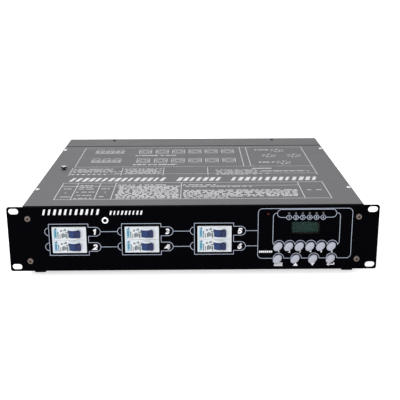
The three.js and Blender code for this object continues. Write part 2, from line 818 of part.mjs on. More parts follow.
// Channel lights: six lamps on one moulded bar that stands on the control board
function channelLedBar() {
  const [first, last] = [channelLedXs[0], channelLedXs[channelCount - 1]];
  const barFront = panelThickness + fit;
  const bar = block(
    first - ledBarMargin, last + ledBarMargin, barFront, boardFront,
    channelLedZ - ledBarHeight / 2, channelLedZ + ledBarHeight / 2);
  const lamps = channelLedXs.map((x) => solidOf(lampShape(barFront + fit).translate(x, 0, channelLedZ)));
  return geometryOf(join([bar, ...lamps]));
}

function lampShape(backY) {
  const radius = ledDiameter / 2;
  return turnedAlongY([
    [0, -ledProud],
    [radius / 2, -ledProud + radius / 4],
    [radius, -ledProud + radius],
    [radius, backY],
    [0, backY],
  ], ledSteps);
}
piece('channel_led_bar', channelLedBar(), greyLight);

// Power light on its own spacer
function powerLed() {
  const spacer = prismAlongY(
    circle(0, 0, ledSpacerDiameter, ledSteps), boardFront - ledSpacerLength, boardFront);
  return geometryOf(join([solidOf(lampShape(boardFront - ledSpacerLength + fit)), spacer]));
}
piece('power_led', powerLed(), redLight, powerLedX, 0, powerLedZ);

// Mains outlet: square flange, round rim and well, two pin holes and two earth clips
function mainsOutlet() {
  const rimFace = outletFlangeThickness + outletRimRise;
  const wellFloor = rimFace - outletWellDepth;
  const outline = roundedRectangle(0, 0, outletFlange, outletFlange, outletFlangeCorner);
  const solid = join([
    prismAlongY(outline, 0, outletFlangeThickness),
    prismAlongY(circle(0, 0, outletRimDiameter, roundSteps), outletFlangeThickness / 2, rimFace),
    prismAlongY(circle(0, 0, outletBodyDiameter, roundSteps), -outletBodyDepth, outletFlangeThickness / 2),
  ]);
  const pins = [-1, 1].map((side) => prismAlongY(
    circle((side * outletPinSpacing) / 2, 0, outletPinDiameter),
    wellFloor - outletPinDepth, wellFloor + overrun));
  const well = prismAlongY(circle(0, 0, outletWellDiameter, roundSteps), wellFloor, rimFace + overrun);
  const clips = [-1, 1].map((end) => {
    const wall = (end * outletWellDiameter) / 2;
    const inner = wall - end * earthClipThickness;
    const [from, to] = [Math.min(wall + end * overrun, inner), Math.max(wall + end * overrun, inner)];
    return block(-earthClipWidth / 2, earthClipWidth / 2, wellFloor - overrun, 0, from, to);
  });
  return geometryOf(join([cut(solid, [well, ...pins]), ...clips]));
}
outletXs.forEach((x, i) => {
  piece(`outlet_${i + 1}`, mainsOutlet(), blackPlastic, x, caseDepth, panelMiddle);
});

// Signal sockets: a flange and a round body, with a well of pins or an insert of holes
function socketShell() {
  const outline = roundedRectangle(0, 0, socketWidth, socketHeight, socketFlangeCorner);
  return join([
    prismAlongY(outline, 0, socketFlangeThickness),
    prismAlongY(circle(0, 0, socketBodyDiameter, roundSteps), -socketBodyDepth, socketFlangeThickness / 2),
  ]);
}

function contactPlaces() {
  return Array.from({ length: socketPinCount }, (_, i) => {
    const angle = THREE.MathUtils.degToRad(-90 + (360 * i) / socketPinCount);
    return [(Math.cos(angle) * socketPinCircle) / 2, (Math.sin(angle) * socketPinCircle) / 2];
  });
}

function dmxInput() {
  const floor = socketFlangeThickness - socketWellDepth;
  const well = prismAlongY(
    circle(0, 0, socketWellDiameter, roundSteps), floor, socketFlangeThickness + overrun);
  const pins = contactPlaces().map(([x, z]) => (
    prismAlongY(circle(x, z, socketPinDiameter), floor - overrun, floor + socketPinLength)));
  return geometryOf(join([cut(socketShell(), [well]), ...pins]));
}

function dmxOutput() {
  const face = socketFlangeThickness;
  const floor = face - socketWellDepth;
  const insertDiameter = socketWellDiameter - 2 * socketGrooveWidth;
  const groove = cut(
    prismAlongY(circle(0, 0, socketWellDiameter, roundSteps), floor, face + overrun),
    [prismAlongY(circle(0, 0, insertDiameter, roundSteps), floor - overrun, face + 2 * overrun)],
  );
  const holes = contactPlaces().map(([x, z]) => prismAlongY(
    circle(x, z, socketPinDiameter + 2 * fit), face - socketHoleDepth, face + overrun));
  const latchSlot = block(
    -latchWidth / 2 - fit, latchWidth / 2 + fit, fit, face + overrun,
    latchRise - latchHeight / 2 - fit, latchRise + latchHeight / 2 + fit);
  return geometryOf(cut(socketShell(), [groove, ...holes, latchSlot]));
}

const latchBack = 2 * fit + latchTravel;
piece('dmx_input', dmxInput(), blackPlastic, inputSocketX, caseDepth, panelMiddle);
piece('dmx_output', dmxOutput(), blackPlastic, outputSocketX, caseDepth, panelMiddle);
piece('dmx_latch', geometryOf(block(
  -latchWidth / 2, latchWidth / 2, latchBack, latchBack + latchThickness, -latchHeight / 2, latchHeight / 2,
)), zincSteel, outputSocketX, caseDepth, panelMiddle + latchRise);

// Cable gland: threaded barrel, hexagon and dome round one bore, with its nut inside the case
function cableGland() {
  const mouth = glandNutThickness + glandDomeLength;
  const dome = turnedAlongY([
    [0, glandNutThickness / 2],
    [glandDomeDiameter / 2, glandNutThickness / 2],
    [glandDomeDiameter / 2, glandNutThickness + glandDomeLength / 2],
    [glandMouthDiameter / 2, mouth],
    [0, mouth],
  ]);
  const bore = prismAlongY(
    circle(0, 0, glandBore, roundSteps), -glandThreadLength - overrun, mouth + overrun);
  return geometryOf(cut(join([
    prismAlongY(circle(0, 0, glandThreadDiameter, roundSteps), -glandThreadLength, glandNutThickness / 2),
    prismAlongY(circle(0, 0, glandNutWidth, hexSteps), 0, glandNutThickness),
    solidOf(dome),
  ]), [bore]));
}
piece('cable_gland', cableGland(), blackPlastic, glandX, caseDepth, panelMiddle);
piece('gland_nut', geometryOf(prismAlongY(
  circle(0, 0, glandNutWidth, hexSteps), -sheet - glandLockNutThickness, -sheet,
  [circle(0, 0, glandThreadDiameter + 2 * fit, roundSteps)],
)), blackPlastic, glandX, caseDepth, panelMiddle);

// Heat sink: an upright wall for the power switches and a base of fins, run across the case
function heatSink() {
  const base = caseFloor + sinkBase;
  const finRun = sinkDepth - sinkWall - sinkFinThickness;
  const outline = [[sinkDepth, caseFloor]];
  for (let i = sinkFinCount; i > 0; i -= 1) {
    const y = sinkWall + (finRun * i) / sinkFinCount;
    outline.push(
      [y + sinkFinThickness, base], [y + sinkFinThickness, base + sinkFinHeight],
      [y, base + sinkFinHeight], [y, base]);
  }
  outline.push([sinkWall, base], [sinkWall, caseFloor + sinkWallHeight], [0, caseFloor + sinkWallHeight]);
  outline.push([0, caseFloor]);
  const points = outline.map(([y, z]) => new THREE.Vector2(sinkFrontY + y, z));
  return geometryOf(prismAlongX(points, -innerRowLength / 2, innerRowLength / 2));
}
piece('heat_sink', heatSink(), bareAluminium);

// Power switches: one package for each channel, held to the heat sink by a clamp bar
function switchRow() {
  const back = sinkFrontY - fit;
  const middle = caseFloor + sinkWallHeight / 2;
  const front = back - switchPackageDepth;
  const packages = innerXs.map((x) => prismAlongY(
    rectangle(x, middle, switchPackageWidth, switchPackageHeight), front, back));
  const bar = prismAlongY(
    rectangle(0, middle, channelCount * innerPitch, clampBarHeight),
    front - clampBarThickness / 2, front + clampBarThickness / 2);
  return geometryOf(join([bar, ...packages]));
}
piece('power_switch_row', switchRow(), blackPlastic);

// Choke bank: one ring core for each channel on a shared strip
function chokeBank() {
  const half = (channelCount * innerPitch) / 2;
  const strip = block(
    -half, half, chokeRowY - chokeStripDepth / 2, chokeRowY + chokeStripDepth / 2,
    caseFloor, caseFloor + chokeStrip);
  const [outer, inner] = [chokeDiameter / 2, chokeBore / 2];
  const low = caseFloor + chokeStrip - chokeSeat;
  const high = low + chokeHeight;
  const section = [
    [inner, low], [outer - chokeBevel, low], [outer, low + chokeBevel],
    [outer, high - chokeBevel], [outer - chokeBevel, high], [inner, high], [inner, low],
  ];
  const rings = innerXs.map((x) => (
    solidOf(turnedAlongZ(section, holeSteps).translate(x, chokeRowY, 0))));
  return geometryOf(join([strip, ...rings]));
}
piece('choke_bank', chokeBank(), copperWire);

// Power board on its spacers, with a driver block and a capacitor for each channel
function powerBoard() {
  const top = powerBoardBottom + boardThickness;
  const seat = powerBoardBottom + boardThickness / 2;
  const driverY = powerBoardFrontY + powerBoardDepth / 4;
  const capacitorY = powerBoardFrontY + (3 * powerBoardDepth) / 4;
  const board = block(
    -innerRowLength / 2, innerRowLength / 2, powerBoardFrontY, powerBoardFrontY + powerBoardDepth,
    powerBoardBottom, top);
  const spacers = spacerPlaces.map(([x, y]) => prismAlongZ(circle(x, y, studDiameter), caseFloor, seat));
  const drivers = innerXs.map((x) => block(
    x - driverWidth / 2, x + driverWidth / 2, driverY - driverDepth / 2, driverY + driverDepth / 2,
    seat, top + driverHeight));
  const capacitors = innerXs.map((x) => (
    prismAlongZ(circle(x, capacitorY, capacitorDiameter), seat, top + capacitorHeight)));
  return geometryOf(join([board, ...spacers, ...drivers, ...capacitors]));
}
piece('power_board', powerBoard(), greenBoard);

// Mains terminal block: a stepped bar of poles with grooves between and screw wells on top
function terminalBlock() {
  const half = (terminalPoles * polePitch) / 2;
  const [near, far] = [terminalBlockY - terminalBlockDepth / 2, terminalBlockY + terminalBlockDepth / 2];
  const low = caseFloor + terminalBlockHeight / 2;
  const high = caseFloor + terminalBlockHeight;
  const [nearStep, farStep] = [near + terminalBlockStep, far - terminalBlockStep];
  const outline = [
    [near, caseFloor], [far, caseFloor], [far, low], [farStep, low],
    [farStep, high], [nearStep, high], [nearStep, low], [near, low],
  ].map(([y, z]) => new THREE.Vector2(y, z));
  const bar = prismAlongX(outline, terminalBlockX - half, terminalBlockX + half);
  const tools = [];
  for (let i = 0; i < terminalPoles; i += 1) {
    const x = terminalBlockX - half + (i + 1 / 2) * polePitch;
    const place = circle(x, terminalBlockY, terminalScrewBore, hexSteps);
    tools.push(prismAlongZ(place, high - terminalScrewDepth, high + overrun));
    if (i > 0) {
      const seam = x - polePitch / 2;
      tools.push(block(
        seam - poleGroove / 2, seam + poleGroove / 2, near - overrun, far + overrun,
        high - poleGrooveDepth, high + overrun));
    }
  }
  return geometryOf(cut(bar, tools));
}
piece('terminal_block', terminalBlock(), beigePlastic);

// Transformer for the control board's supply: a core with a coil through it, on a foot strip
function transformer() {
  const foot = caseFloor + transformerFoot;
  const middle = foot + coreHeight / 2 - transformerFoot / 2;
  return geometryOf(join([
    block(
      transformerX - coreWidth / 2, transformerX + coreWidth / 2,
      transformerY - coreDepth / 2, transformerY + coreDepth / 2, caseFloor, caseFloor + coreHeight),
    block(
      transformerX - coilWidth / 2, transformerX + coilWidth / 2,
      transformerY - coilDepth / 2, transformerY + coilDepth / 2,
      middle - coilHeight / 2, middle + coilHeight / 2),
    block(
      transformerX - transformerFootWidth / 2, transformerX + transformerFootWidth / 2,
      transformerY - coreDepth / 2, transformerY + coreDepth / 2, caseFloor, foot),
  ]));
}
piece('transformer', transformer(), coreSteel);

// Socket-head screw along Y: head in front of the panel, shank behind
function frontScrew(head, headHeight, shank, length, socket, socketDepth) {
  const bevel = headHeight / 4;
  const body = turnedAlongY([
    [0, -headHeight],
    [head / 2 - bevel, -headHeight],
    [head / 2, -headHeight + bevel],
    [head / 2, 0],
    [shank / 2, 0],
    [shank / 2, length],
    [0, length],
  ], holeSteps);
  const recess = prismAlongY(
    circle(0, 0, socket, hexSteps), -headHeight - overrun, -headHeight + socketDepth);
  return geometryOf(cut(solidOf(body), [recess]));
}
for (const [name, x, z] of earScrewPlaces) {
  const screw = frontScrew(
    earScrewHead, earScrewHeadHeight, earScrewShank, earScrewLength, earScrewSocket, earScrewSocketDepth);
  piece(name, screw, bronzeSteel, x, 0, z);
}
piece('bracket_screw', frontScrew(
  bracketScrewHead, bracketScrewHeadHeight, bracketScrewShank, bracketScrewLength,
  bracketScrewSocket, bracketScrewSocketDepth,
), brightSteel, bracketScrewX, 0, bracketScrewZ);

// Earth screw: a washer on the cover, and a head that stands clear of it on the shank
function earthScrew() {
  const [washer, neck, shank] = [earthScrewWasher / 2, earthScrewWasherHeight, earthScrewShank / 2];
  const headTop = earthScrewGap + earthScrewHeadHeight;
  const bevel = earthScrewHeadHeight / 4;
  const profile = [
    [0, -earthScrewLength], [shank, -earthScrewLength], [shank, 0],
    [washer, 0], [washer, neck], [shank, neck], [shank, earthScrewGap],
    [earthScrewHead / 2, earthScrewGap], [earthScrewHead / 2, headTop - bevel],
    [earthScrewHead / 2 - bevel, headTop], [0, headTop],
  ];
  return geometryOf(solidOf(turnedAlongZ(profile, holeSteps)));
}
piece('cover_earth_screw', earthScrew(), brightSteel, earthScrewX, earthScrewY, coverTop);

// The finished unit stands on z = 0 with the middle of its box over the origin
const dimmerPack = new THREE.Group();
dimmerPack.add(unit);
const bounds = new THREE.Box3().setFromObject(dimmerPack);
unit.position.set(0, -(bounds.min.y + bounds.max.y) / 2, -bounds.min.z);

export default dimmerPack;
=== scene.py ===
"""Looks of a two-unit rack dimmer pack, built round its packed construction.

Lengths are in millimetres and places are measured from the front panel: x = 0 at its middle,
y = 0 on its front face and z = 0 at its bottom edge, +X right, +Y rear, +Z up.
Every mesh is turned to metres in the shared frame when it becomes a piece.
"""

import json
import math

import bmesh
import bpy
from mathutils import Matrix, Vector

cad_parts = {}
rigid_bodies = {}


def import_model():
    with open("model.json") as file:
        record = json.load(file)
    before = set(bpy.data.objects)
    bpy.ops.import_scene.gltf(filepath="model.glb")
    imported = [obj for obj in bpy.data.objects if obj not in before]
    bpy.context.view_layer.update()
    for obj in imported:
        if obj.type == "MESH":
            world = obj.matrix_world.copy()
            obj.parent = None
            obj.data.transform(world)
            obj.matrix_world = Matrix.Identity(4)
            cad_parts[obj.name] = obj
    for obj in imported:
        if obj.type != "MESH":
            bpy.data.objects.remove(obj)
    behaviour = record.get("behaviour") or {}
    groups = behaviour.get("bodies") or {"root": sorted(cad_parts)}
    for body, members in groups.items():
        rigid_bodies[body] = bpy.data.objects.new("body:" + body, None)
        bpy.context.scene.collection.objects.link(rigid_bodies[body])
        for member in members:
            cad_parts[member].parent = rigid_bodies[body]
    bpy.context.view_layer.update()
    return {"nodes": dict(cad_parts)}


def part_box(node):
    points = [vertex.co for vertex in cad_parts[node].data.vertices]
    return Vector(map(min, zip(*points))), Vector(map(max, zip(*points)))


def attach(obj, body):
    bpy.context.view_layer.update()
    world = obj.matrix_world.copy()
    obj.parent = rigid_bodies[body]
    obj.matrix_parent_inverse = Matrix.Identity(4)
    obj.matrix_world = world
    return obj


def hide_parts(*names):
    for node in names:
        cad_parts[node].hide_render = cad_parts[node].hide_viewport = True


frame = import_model()

# The front panel's own box fixes the origin that all the places below are measured from
PANEL_LOW, PANEL_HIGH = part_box("front_panel")
ORIGIN = Vector(((PANEL_LOW.x + PANEL_HIGH.x) / 2, PANEL_LOW.y, PANEL_LOW.z))
TO_FRAME = Matrix.Translation(ORIGIN) @ Matrix.Scale(0.001, 4)
CASE = "case"


def about_z(degrees):
    return Matrix.Rotation(math.radians(degrees), 4, "Z")


# The turn that makes a mesh that faces up face a side of the object
UP = Matrix.Identity(4)
FRONT = Matrix.Rotation(math.radians(90), 4, "X")
REAR, LEFT, RIGHT = [about_z(degrees) @ FRONT for degrees in (180, -90, 90)]


def span(node):
    """Lowest and highest corner of a node, in millimetres from the panel's origin."""
    return [(corner - ORIGIN) * 1000 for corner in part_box(node)]


def middle(node):
    low, high = span(node)
    return (low + high) / 2


def spot(node):
    """A node's middle as it lies on the front panel: x and z."""
    place = middle(node)
    return place.x, place.z


CHANNELS = range(1, 7)
PANEL = span("front_panel")
PANEL_WIDTH, PANEL_HEIGHT = PANEL[1].x - PANEL[0].x, PANEL[1].z
PANEL_MIDDLE = PANEL_HEIGHT / 2
PANEL_THICKNESS = 3.0
COVER_TOP = span("top_cover")[1].z
HALF_CASE = span("top_cover")[1].x
CASE_BACK = span("rear_panel")[1].y
COLUMNS = [middle(f"breaker_body_{number}").x for number in (1, 3, 5)]
BREAKER_PLACES = [(COLUMNS[(number - 1) // 2], middle(f"breaker_body_{number}").z) for number in CHANNELS]
CHANNEL_BUTTONS = [f"channel_button_{number}" for number in CHANNELS]
MENU_BUTTONS = ["menu_button", "up_button", "down_button", "escape_button"]
DISPLAY = middle("display_window")
OUTLETS = [f"outlet_{number}" for number in CHANNELS]
SIDES = (-1, 1)


# Nodes of the materials and of the trees that repeat things

def add(tree, kind, settings=None, places=None, **sockets):
    """A node with its settings and its sockets filled, by name or by place, from values or other sockets."""
    node = tree.nodes.new(kind)
    for key, value in (settings or {}).items():
        setattr(node, key, value)
    filled = {key.replace("_", " "): value for key, value in sockets.items()}
    for key, value in {**filled, **(places or {})}.items():
        if isinstance(value, bpy.types.NodeSocket):
            tree.links.new(value, node.inputs[key])
        else:
            node.inputs[key].default_value = value
    return node


def reckoned(tree, operation, first, second):
    return add(tree, "ShaderNodeMath", {"operation": operation}, {0: first, 1: second}).outputs[0]


def vector(tree, **axes):
    return add(tree, "ShaderNodeCombineXYZ", **axes).outputs[0]


def ranged(tree, value, low, high, to_low=0.0, to_high=1.0):
    return add(tree, "ShaderNodeMapRange", Value=value, From_Min=low, From_Max=high, To_Min=to_low,
               To_Max=to_high).outputs[0]


def mixed(tree, share, first, second):
    """A colour between two."""
    return add(tree, "ShaderNodeMix", {"data_type": "RGBA"}, {0: share, 6: first, 7: second}).outputs[2]


def noise(tree, coordinates, grain, detail, roughness=0.5):
    """A noise whose grain has a size in millimetres, on coordinates in metres."""
    return add(tree, "ShaderNodeTexNoise", Vector=coordinates, Scale=1000.0 / grain, Detail=detail,
               Roughness=roughness).outputs["Fac"]


# Materials, each a small tree on the piece's own coordinates

def shade(red, green, blue):
    """A colour given as it shows on screen, 0 to 255, as the linear values that shaders take."""
    linear = [((v / 255 + 0.055) / 1.055) ** 2.4 if v > 10 else v / 255 / 12.92 for v in (red, green, blue)]
    return (*linear, 1.0)


def toned(colour, factor):
    """The same colour, lighter or darker by a factor."""
    return (*[min(value * factor, 1.0) for value in colour[:3]], 1.0)


def empty_material(name):
    material = bpy.data.materials.new(name)
    material.use_nodes = True
    tree = material.node_tree
    tree.nodes.clear()
    return material, tree, add(tree, "ShaderNodeTexCoord").outputs["Object"]


def surface(name, screen_colour, roughness, metallic=0.0, specular=0.5, grain=0.5, depth=0.01, mottle=18.0,
            share=0.06, spread=0.06, stretch=(1, 1, 1)):
    """A finish: grain and depth give the fine relief, in millimetres. Over patches of the mottle's size the
    colour changes by its share and the roughness by its spread."""
    material, tree, place = empty_material(name)
    mapped = add(tree, "ShaderNodeMapping", Vector=place, Scale=stretch).outputs[0]
    fine, slow = noise(tree, mapped, grain, 3.0, 0.6), noise(tree, mapped, mottle, 4.0)
    colour = shade(*screen_colour)
    level = ranged(tree, reckoned(tree, "ADD", fine, slow), 0.7, 1.3)
    tint = mixed(tree, level, toned(colour, 1 - share), toned(colour, 1 + share))
    gloss = ranged(tree, slow, 0.3, 0.7, max(roughness - spread, 0.02), min(roughness + spread, 1.0))
    relief = add(tree, "ShaderNodeBump", Height=fine, Strength=1.0, Distance=depth / 1000)
    shader = add(tree, "ShaderNodeBsdfPrincipled", None, {"Specular IOR Level": specular}, Base_Color=tint,
                 Roughness=gloss, Normal=relief.outputs[0], Metallic=metallic)
    add(tree, "ShaderNodeOutputMaterial", Surface=shader.outputs[0])
    return material


def ink(name, screen_colour, roughness=0.5, specular=0.5, depth=0.003, mottle=18.0, share=0.06):
    return surface(name, screen_colour, roughness, specular=specular, grain=0.3, depth=depth, mottle=mottle,
                   share=share)


BLACK_PAINT = surface("black_powder_coat", (3, 3, 6), 0.42, 0, 0.01, 0.45, 0.012, share=0.12)
GREY_PAINT = surface("grey_powder_coat", (111, 111, 113), 0.62, 0, 0.15, 0.55, 0.03, 35.0, 0.03)
WHITE_PRINT = ink("white_print", (244, 245, 248), 0.55, 0.3, 0.004, 6.0, 0.04)
LINE_PRINT = ink("line_print", (194, 204, 224), 0.55, 0.2, 0.004, 6.0)
COVER_PRINT = ink("cover_print", (226, 226, 228), 0.6, 0.2, 0.004, 9.0, 0.08)
BREAKER_INKS = [ink(f"breaker_{tone}_print", colour) for tone, colour in (
    ("blue", (74, 140, 168)), ("pale", (182, 214, 230)), ("grey", (132, 138, 143)), ("dark", (76, 90, 92)))]
BREAKER_WHITE = surface("breaker_plastic", (226, 231, 236), 0.34, 0, 0.4, 0.6, 0.004, 12.0, 0.02)
# Painted light: the lever is one blue plastic; the handle takes a darker, more violet copy as painted shade
# and the drum a lighter copy as painted light.
LEVER_SHADED_BLUE = surface("blue_lever_painted_shade", (32, 42, 88), 0.36, 0, 0.25, 0.5, 0.004, 7.0, 0.08)
LEVER_LIT_BLUE = surface("blue_lever_painted_light", (34, 58, 110), 0.36, 0, 0.25, 0.5, 0.004, 7.0, 0.08)
BUTTON_GREY = surface("button_plastic", (184, 187, 200), 0.48, 0, 0.25, 0.35, 0.01, 5.0, 0.04)
RUBBER = surface("foot_rubber", (14, 14, 15), 0.85, 0, 0.1, 0.4, 0.05)
BLACK_PLASTIC = surface("black_plastic", (24, 25, 27), 0.45, 0, 0.3, 0.4, 0.02)
ZINC = surface("zinc_plate", (186, 188, 190), 0.36, 1, 0.5, 0.35, 0.01, 4.0, 0.12, 0.12)
BRONZE = surface("bronze_plate", (112, 101, 96), 0.42, 0.6, 0.5, 0.3, 0.01, 2.5, 0.2, 0.12)
# Painted shade: a darker copy of the bronze for the inside of the ear screws' sockets.
BRONZE_PAINTED_SHADE = surface("bronze_painted_socket_shade", (74, 64, 59), 0.6, 0, 0.1, 0.3)
BRIGHT_STEEL = surface("bright_steel", (226, 226, 230), 0.2, 1, 0.5, 0.3, 0.004, 2.0, 0.08)
BRASS = surface("contact_brass", (196, 170, 112), 0.3, 1, 0.5, 0.25, 0.004, 2.0, 0.15)
ALUMINIUM = surface("extruded_aluminium", (168, 170, 173), 0.38, 1, 0.5, 0.25, 0.012, 8.0, 0.1,
                    stretch=(0.06, 1, 1))
BOARD_GREEN = surface("circuit_board", (26, 86, 52), 0.4, mottle=3.0, share=0.35)
BEIGE = surface("beige_plastic", (207, 200, 180), 0.5, grain=0.4)
CORE_STEEL = surface("laminated_core", (92, 95, 100), 0.5, 0.8, 0.5, 0.5, 0.05, 5.0, 0.3,
                     stretch=(1, 1, 0.04))
COPPER = surface("enamelled_copper", (176, 96, 48), 0.32, 0.9, 0.5, 0.4, 0.01, 3.0, 0.2)
CORE_YELLOW = surface("ring_core", (188, 160, 62), 0.6, grain=0.4, depth=0.02)
LCD = surface("display_glass", (14, 63, 55), 0.3, 0, 0.1, 0.6, 0.002, 9.0, 0.05)
BEZEL = surface("display_bezel", (20, 15, 14), 0.5, 0, 0.1, 0.3)
LAMP_GREY = surface("unlit_lamp", (104, 102, 106), 0.25, 0, 0.3, 0.3, 0.003, 1.5, 0.2)
LAMP_RED = surface("unlit_red_lamp", (84, 22, 24), 0.2, 0, 0.2, 0.3, 0.003, 1.5, 0.3)
# Painted shade: dark grey for the seam between the cover and the rear strip.
SEAM_PAINTED_SHADE = surface("seam_painted_shade", (30, 30, 32), 0.7, 0, 0.1, 0.4)
# Dark steel: the own colour of the dark side and rear screws, and painted shade and reflection on the earth
# screw's sides, underside, shank and washer.
BLACKENED_AND_PAINTED_SHADE = surface("blackened_steel_and_painted_shade", (34, 34, 36), 0.5, 0, 0.2, 0.3)
# Painted shade: near black for the inside of the bracket screw's socket.
PAINTED_RECESS_SHADE = surface("painted_recess_shade", (14, 13, 13), 0.8, 0, 0.1, 0.4)


def clear_sheet():
    """Clear acrylic: nearly all light passes it, and its surface has a faint haze."""
    material, tree, place = empty_material("clear_acrylic")
    gloss = ranged(tree, noise(tree, place, 4.0, 4.0), 0.0, 1.0, 0.02, 0.1)
    shader = add(tree, "ShaderNodeBsdfPrincipled", None, {"Specular IOR Level": 0.2}, Roughness=gloss,
                 Base_Color=(0.04, 0.05, 0.045, 1), Alpha=0.14)
    add(tree, "ShaderNodeOutputMaterial", Surface=shader.outputs[0])
    return material


CLEAR = clear_sheet()


# Outlines as lists of points

def arc(x, y, radius, start, end, steps=12):
    angles = [math.radians(start + (end - start) * i / steps) for i in range(steps + 1)]
    return [(x + radius * math.cos(a), y + radius * math.sin(a)) for a in angles]


def circle(x, y, radius, steps=48):
    return arc(x, y, radius, 0, 360, steps)[:-1]


def box_outline(x, y, width, height, radius=0.0, steps=8):
    w, h = width / 2 - radius, height / 2 - radius
    corners = [(x + w, y - h, -90), (x + w, y + h, 0), (x - w, y + h, 90), (x - w, y - h, 180)]
    if radius == 0:
        return [(cx, cy) for cx, cy, _ in corners]
    return [p for cx, cy, start in corners for p in arc(cx, cy, radius, start, start + 90, steps)]


def long_hole(x, y, length, width):
    run = (length - width) / 2
    return arc(x + run, y, width / 2, -90, 90) + arc(x - run, y, width / 2, 90, 270)


def tilted_oval(x, y, length, width):
    """An oval whose long axis leans by half a right angle."""
    lean = math.sqrt(0.5)
    halves = [(u * length / 2, v * width / 2) for u, v in circle(0, 0, 1, 40)]
    return [(x + (u - v) * lean, y + (u + v) * lean) for u, v in halves]


def filleted(points, radius, steps=4):
    """The same closed path with each corner rounded."""
    made = []
    for i, point in enumerate(points):
        here = Vector(point)
        start, end = [here + (Vector(other) - here).normalized() * radius
                      for other in (points[i - 1], points[(i + 1) % len(points)])]
        for t in [k / steps for k in range(steps + 1)]:
            made.append(tuple(start * (1 - t) ** 2 + here * 2 * t * (1 - t) + end * t * t))
    return made


# Meshes

def linked(name, data):
    obj = bpy.data.objects.new(name, data)
    bpy.context.scene.collection.objects.link(obj)
    return obj


def mesh_of(obj):
    """The mesh of an object with its modifiers applied. The object is removed."""
    graph = bpy.context.evaluated_depsgraph_get()
    evaluated = obj.evaluated_get(graph)
    mesh = bpy.data.meshes.new_from_object(evaluated, preserve_all_data_layers=True, depsgraph=graph)
    data = obj.data
    bpy.data.objects.remove(obj)
    bpy.data.batch_remove([data])
    mesh.materials.clear()
    return mesh


def mesh_from(shape, name):
    """Ends an edit: its shape becomes a mesh."""
    mesh = bpy.data.meshes.new(name)
    shape.to_mesh(mesh)
    shape.free()
    return mesh


def outward(shape, name):
    """Ends an edit in a mesh whose faces all turn outwards."""
    bmesh.ops.recalc_face_normals(shape, faces=shape.faces)
    return mesh_from(shape, name)


def cleaned(mesh, gap=1e-4):
    """Merges a mesh's doubles, closes its slits and turns its faces outwards."""
    shape = bmesh.new()
    shape.from_mesh(mesh)
    bmesh.ops.remove_doubles(shape, verts=shape.verts, dist=gap)
    bmesh.ops.dissolve_degenerate(shape, edges=shape.edges, dist=gap)
    bmesh.ops.holes_fill(shape, edges=[edge for edge in shape.edges if edge.is_boundary])
    bmesh.ops.recalc_face_normals(shape, faces=shape.faces)
    shape.to_mesh(mesh)
    shape.free()
    return mesh


def plate(outline, holes=(), thickness=1.0, bevel=0.0):
    """A flat plate with holes and rounded edges. It lies in X and Y, from z = 0 up to its thickness."""
    curve = bpy.data.curves.new("plate", "CURVE")
    curve.dimensions, curve.fill_mode = "2D", "BOTH"
    curve.extrude = thickness / 2 - bevel
    curve.bevel_depth, curve.bevel_resolution, curve.offset = bevel, 2, -bevel
    for points in [outline, *[list(reversed(hole)) for hole in holes]]:
        spline = curve.splines.new("POLY")
        spline.points.add(len(points) - 1)
        spline.use_cyclic_u = True
        for target, (x, y) in zip(spline.points, points):
            target.co = (x, y, 0, 1)
    return moved(cleaned(mesh_of(linked("plate", curve))), z=thickness / 2)


def turned(profile, steps=48):
    """A solid turned about Z from (radius, height) pairs, from axis to axis or closed round a bore."""
    shape = bmesh.new()
    rings = []
    for radius, height in profile:
        if radius == 0:
            rings.append([shape.verts.new((0, 0, height))] * steps)
        else:
            rings.append([shape.verts.new((x, y, height)) for x, y in circle(0, 0, radius, steps)])
    for lower, upper in zip(rings, rings[1:] + rings[:1]):
        for i in range(steps):
            k = (i + 1) % steps
            corners = list(dict.fromkeys((lower[i], lower[k], upper[k], upper[i])))
            if len(corners) > 2:
                shape.faces.new(corners)
    return outward(shape, "turned")


def disc(radius, low, high, steps, edge=0.0):
    """A disc about Z between two heights, with its rims cut back by the edge."""
    rims = [(radius - edge, low), (radius, low + edge), (radius, high - edge), (radius - edge, high)]
    return turned([(0, low), *dict.fromkeys(rims), (0, high)], steps)


def block(low, high, bevel=0.0):
    """A box between two corners with rounded edges."""
    shape = bmesh.new()
    bmesh.ops.create_cube(shape, size=1.0)
    bmesh.ops.scale(shape, vec=Vector(high) - Vector(low), verts=shape.verts)
    bmesh.ops.translate(shape, vec=(Vector(high) + Vector(low)) / 2, verts=shape.verts)
    if bevel:
        bmesh.ops.bevel(shape, geom=shape.edges[:], offset=bevel, segments=2, profile=0.5, affect="EDGES")
    return mesh_from(shape, "block")


def joined(meshes):
    """One mesh from several, each with its own material index kept."""
    shape = bmesh.new()
    for mesh in meshes:
        shape.from_mesh(mesh)
        bpy.data.meshes.remove(mesh)
    return mesh_from(shape, "joined")


def combined(base, tool, operation="DIFFERENCE"):
    """A closed mesh with another cut from it or joined to it."""
    host, other = linked("host", base), linked("tool", tool)
    step = host.modifiers.new("combine", "BOOLEAN")
    step.object, step.operation, step.solver = other, operation, "EXACT"
    mesh = mesh_of(host)
    bpy.data.objects.remove(other)
    bpy.data.meshes.remove(tool)
    return cleaned(mesh)


def moved(mesh, x=0.0, y=0.0, z=0.0, facing=UP, spin=0.0):
    """The mesh spun about its own Z, turned to face a side of the object, and moved."""
    mesh.transform(Matrix.Translation((x, y, z)) @ facing @ about_z(spin))
    return mesh


def on_front(mesh, node, spin=0.0):
    """The mesh set on the front face before a node's middle."""
    x, z = spot(node)
    return moved(mesh, x, 0, z, FRONT, spin)


def on_rear(mesh, node):
    """The mesh set on the rear panel, level with its middle, behind a node's middle."""
    return moved(mesh, middle(node).x, CASE_BACK, PANEL_MIDDLE, REAR)


def painted(mesh, index):
    """All the mesh's faces take the material with that place in the piece's list."""
    for face in mesh.polygons:
        face.material_index = index
    return mesh


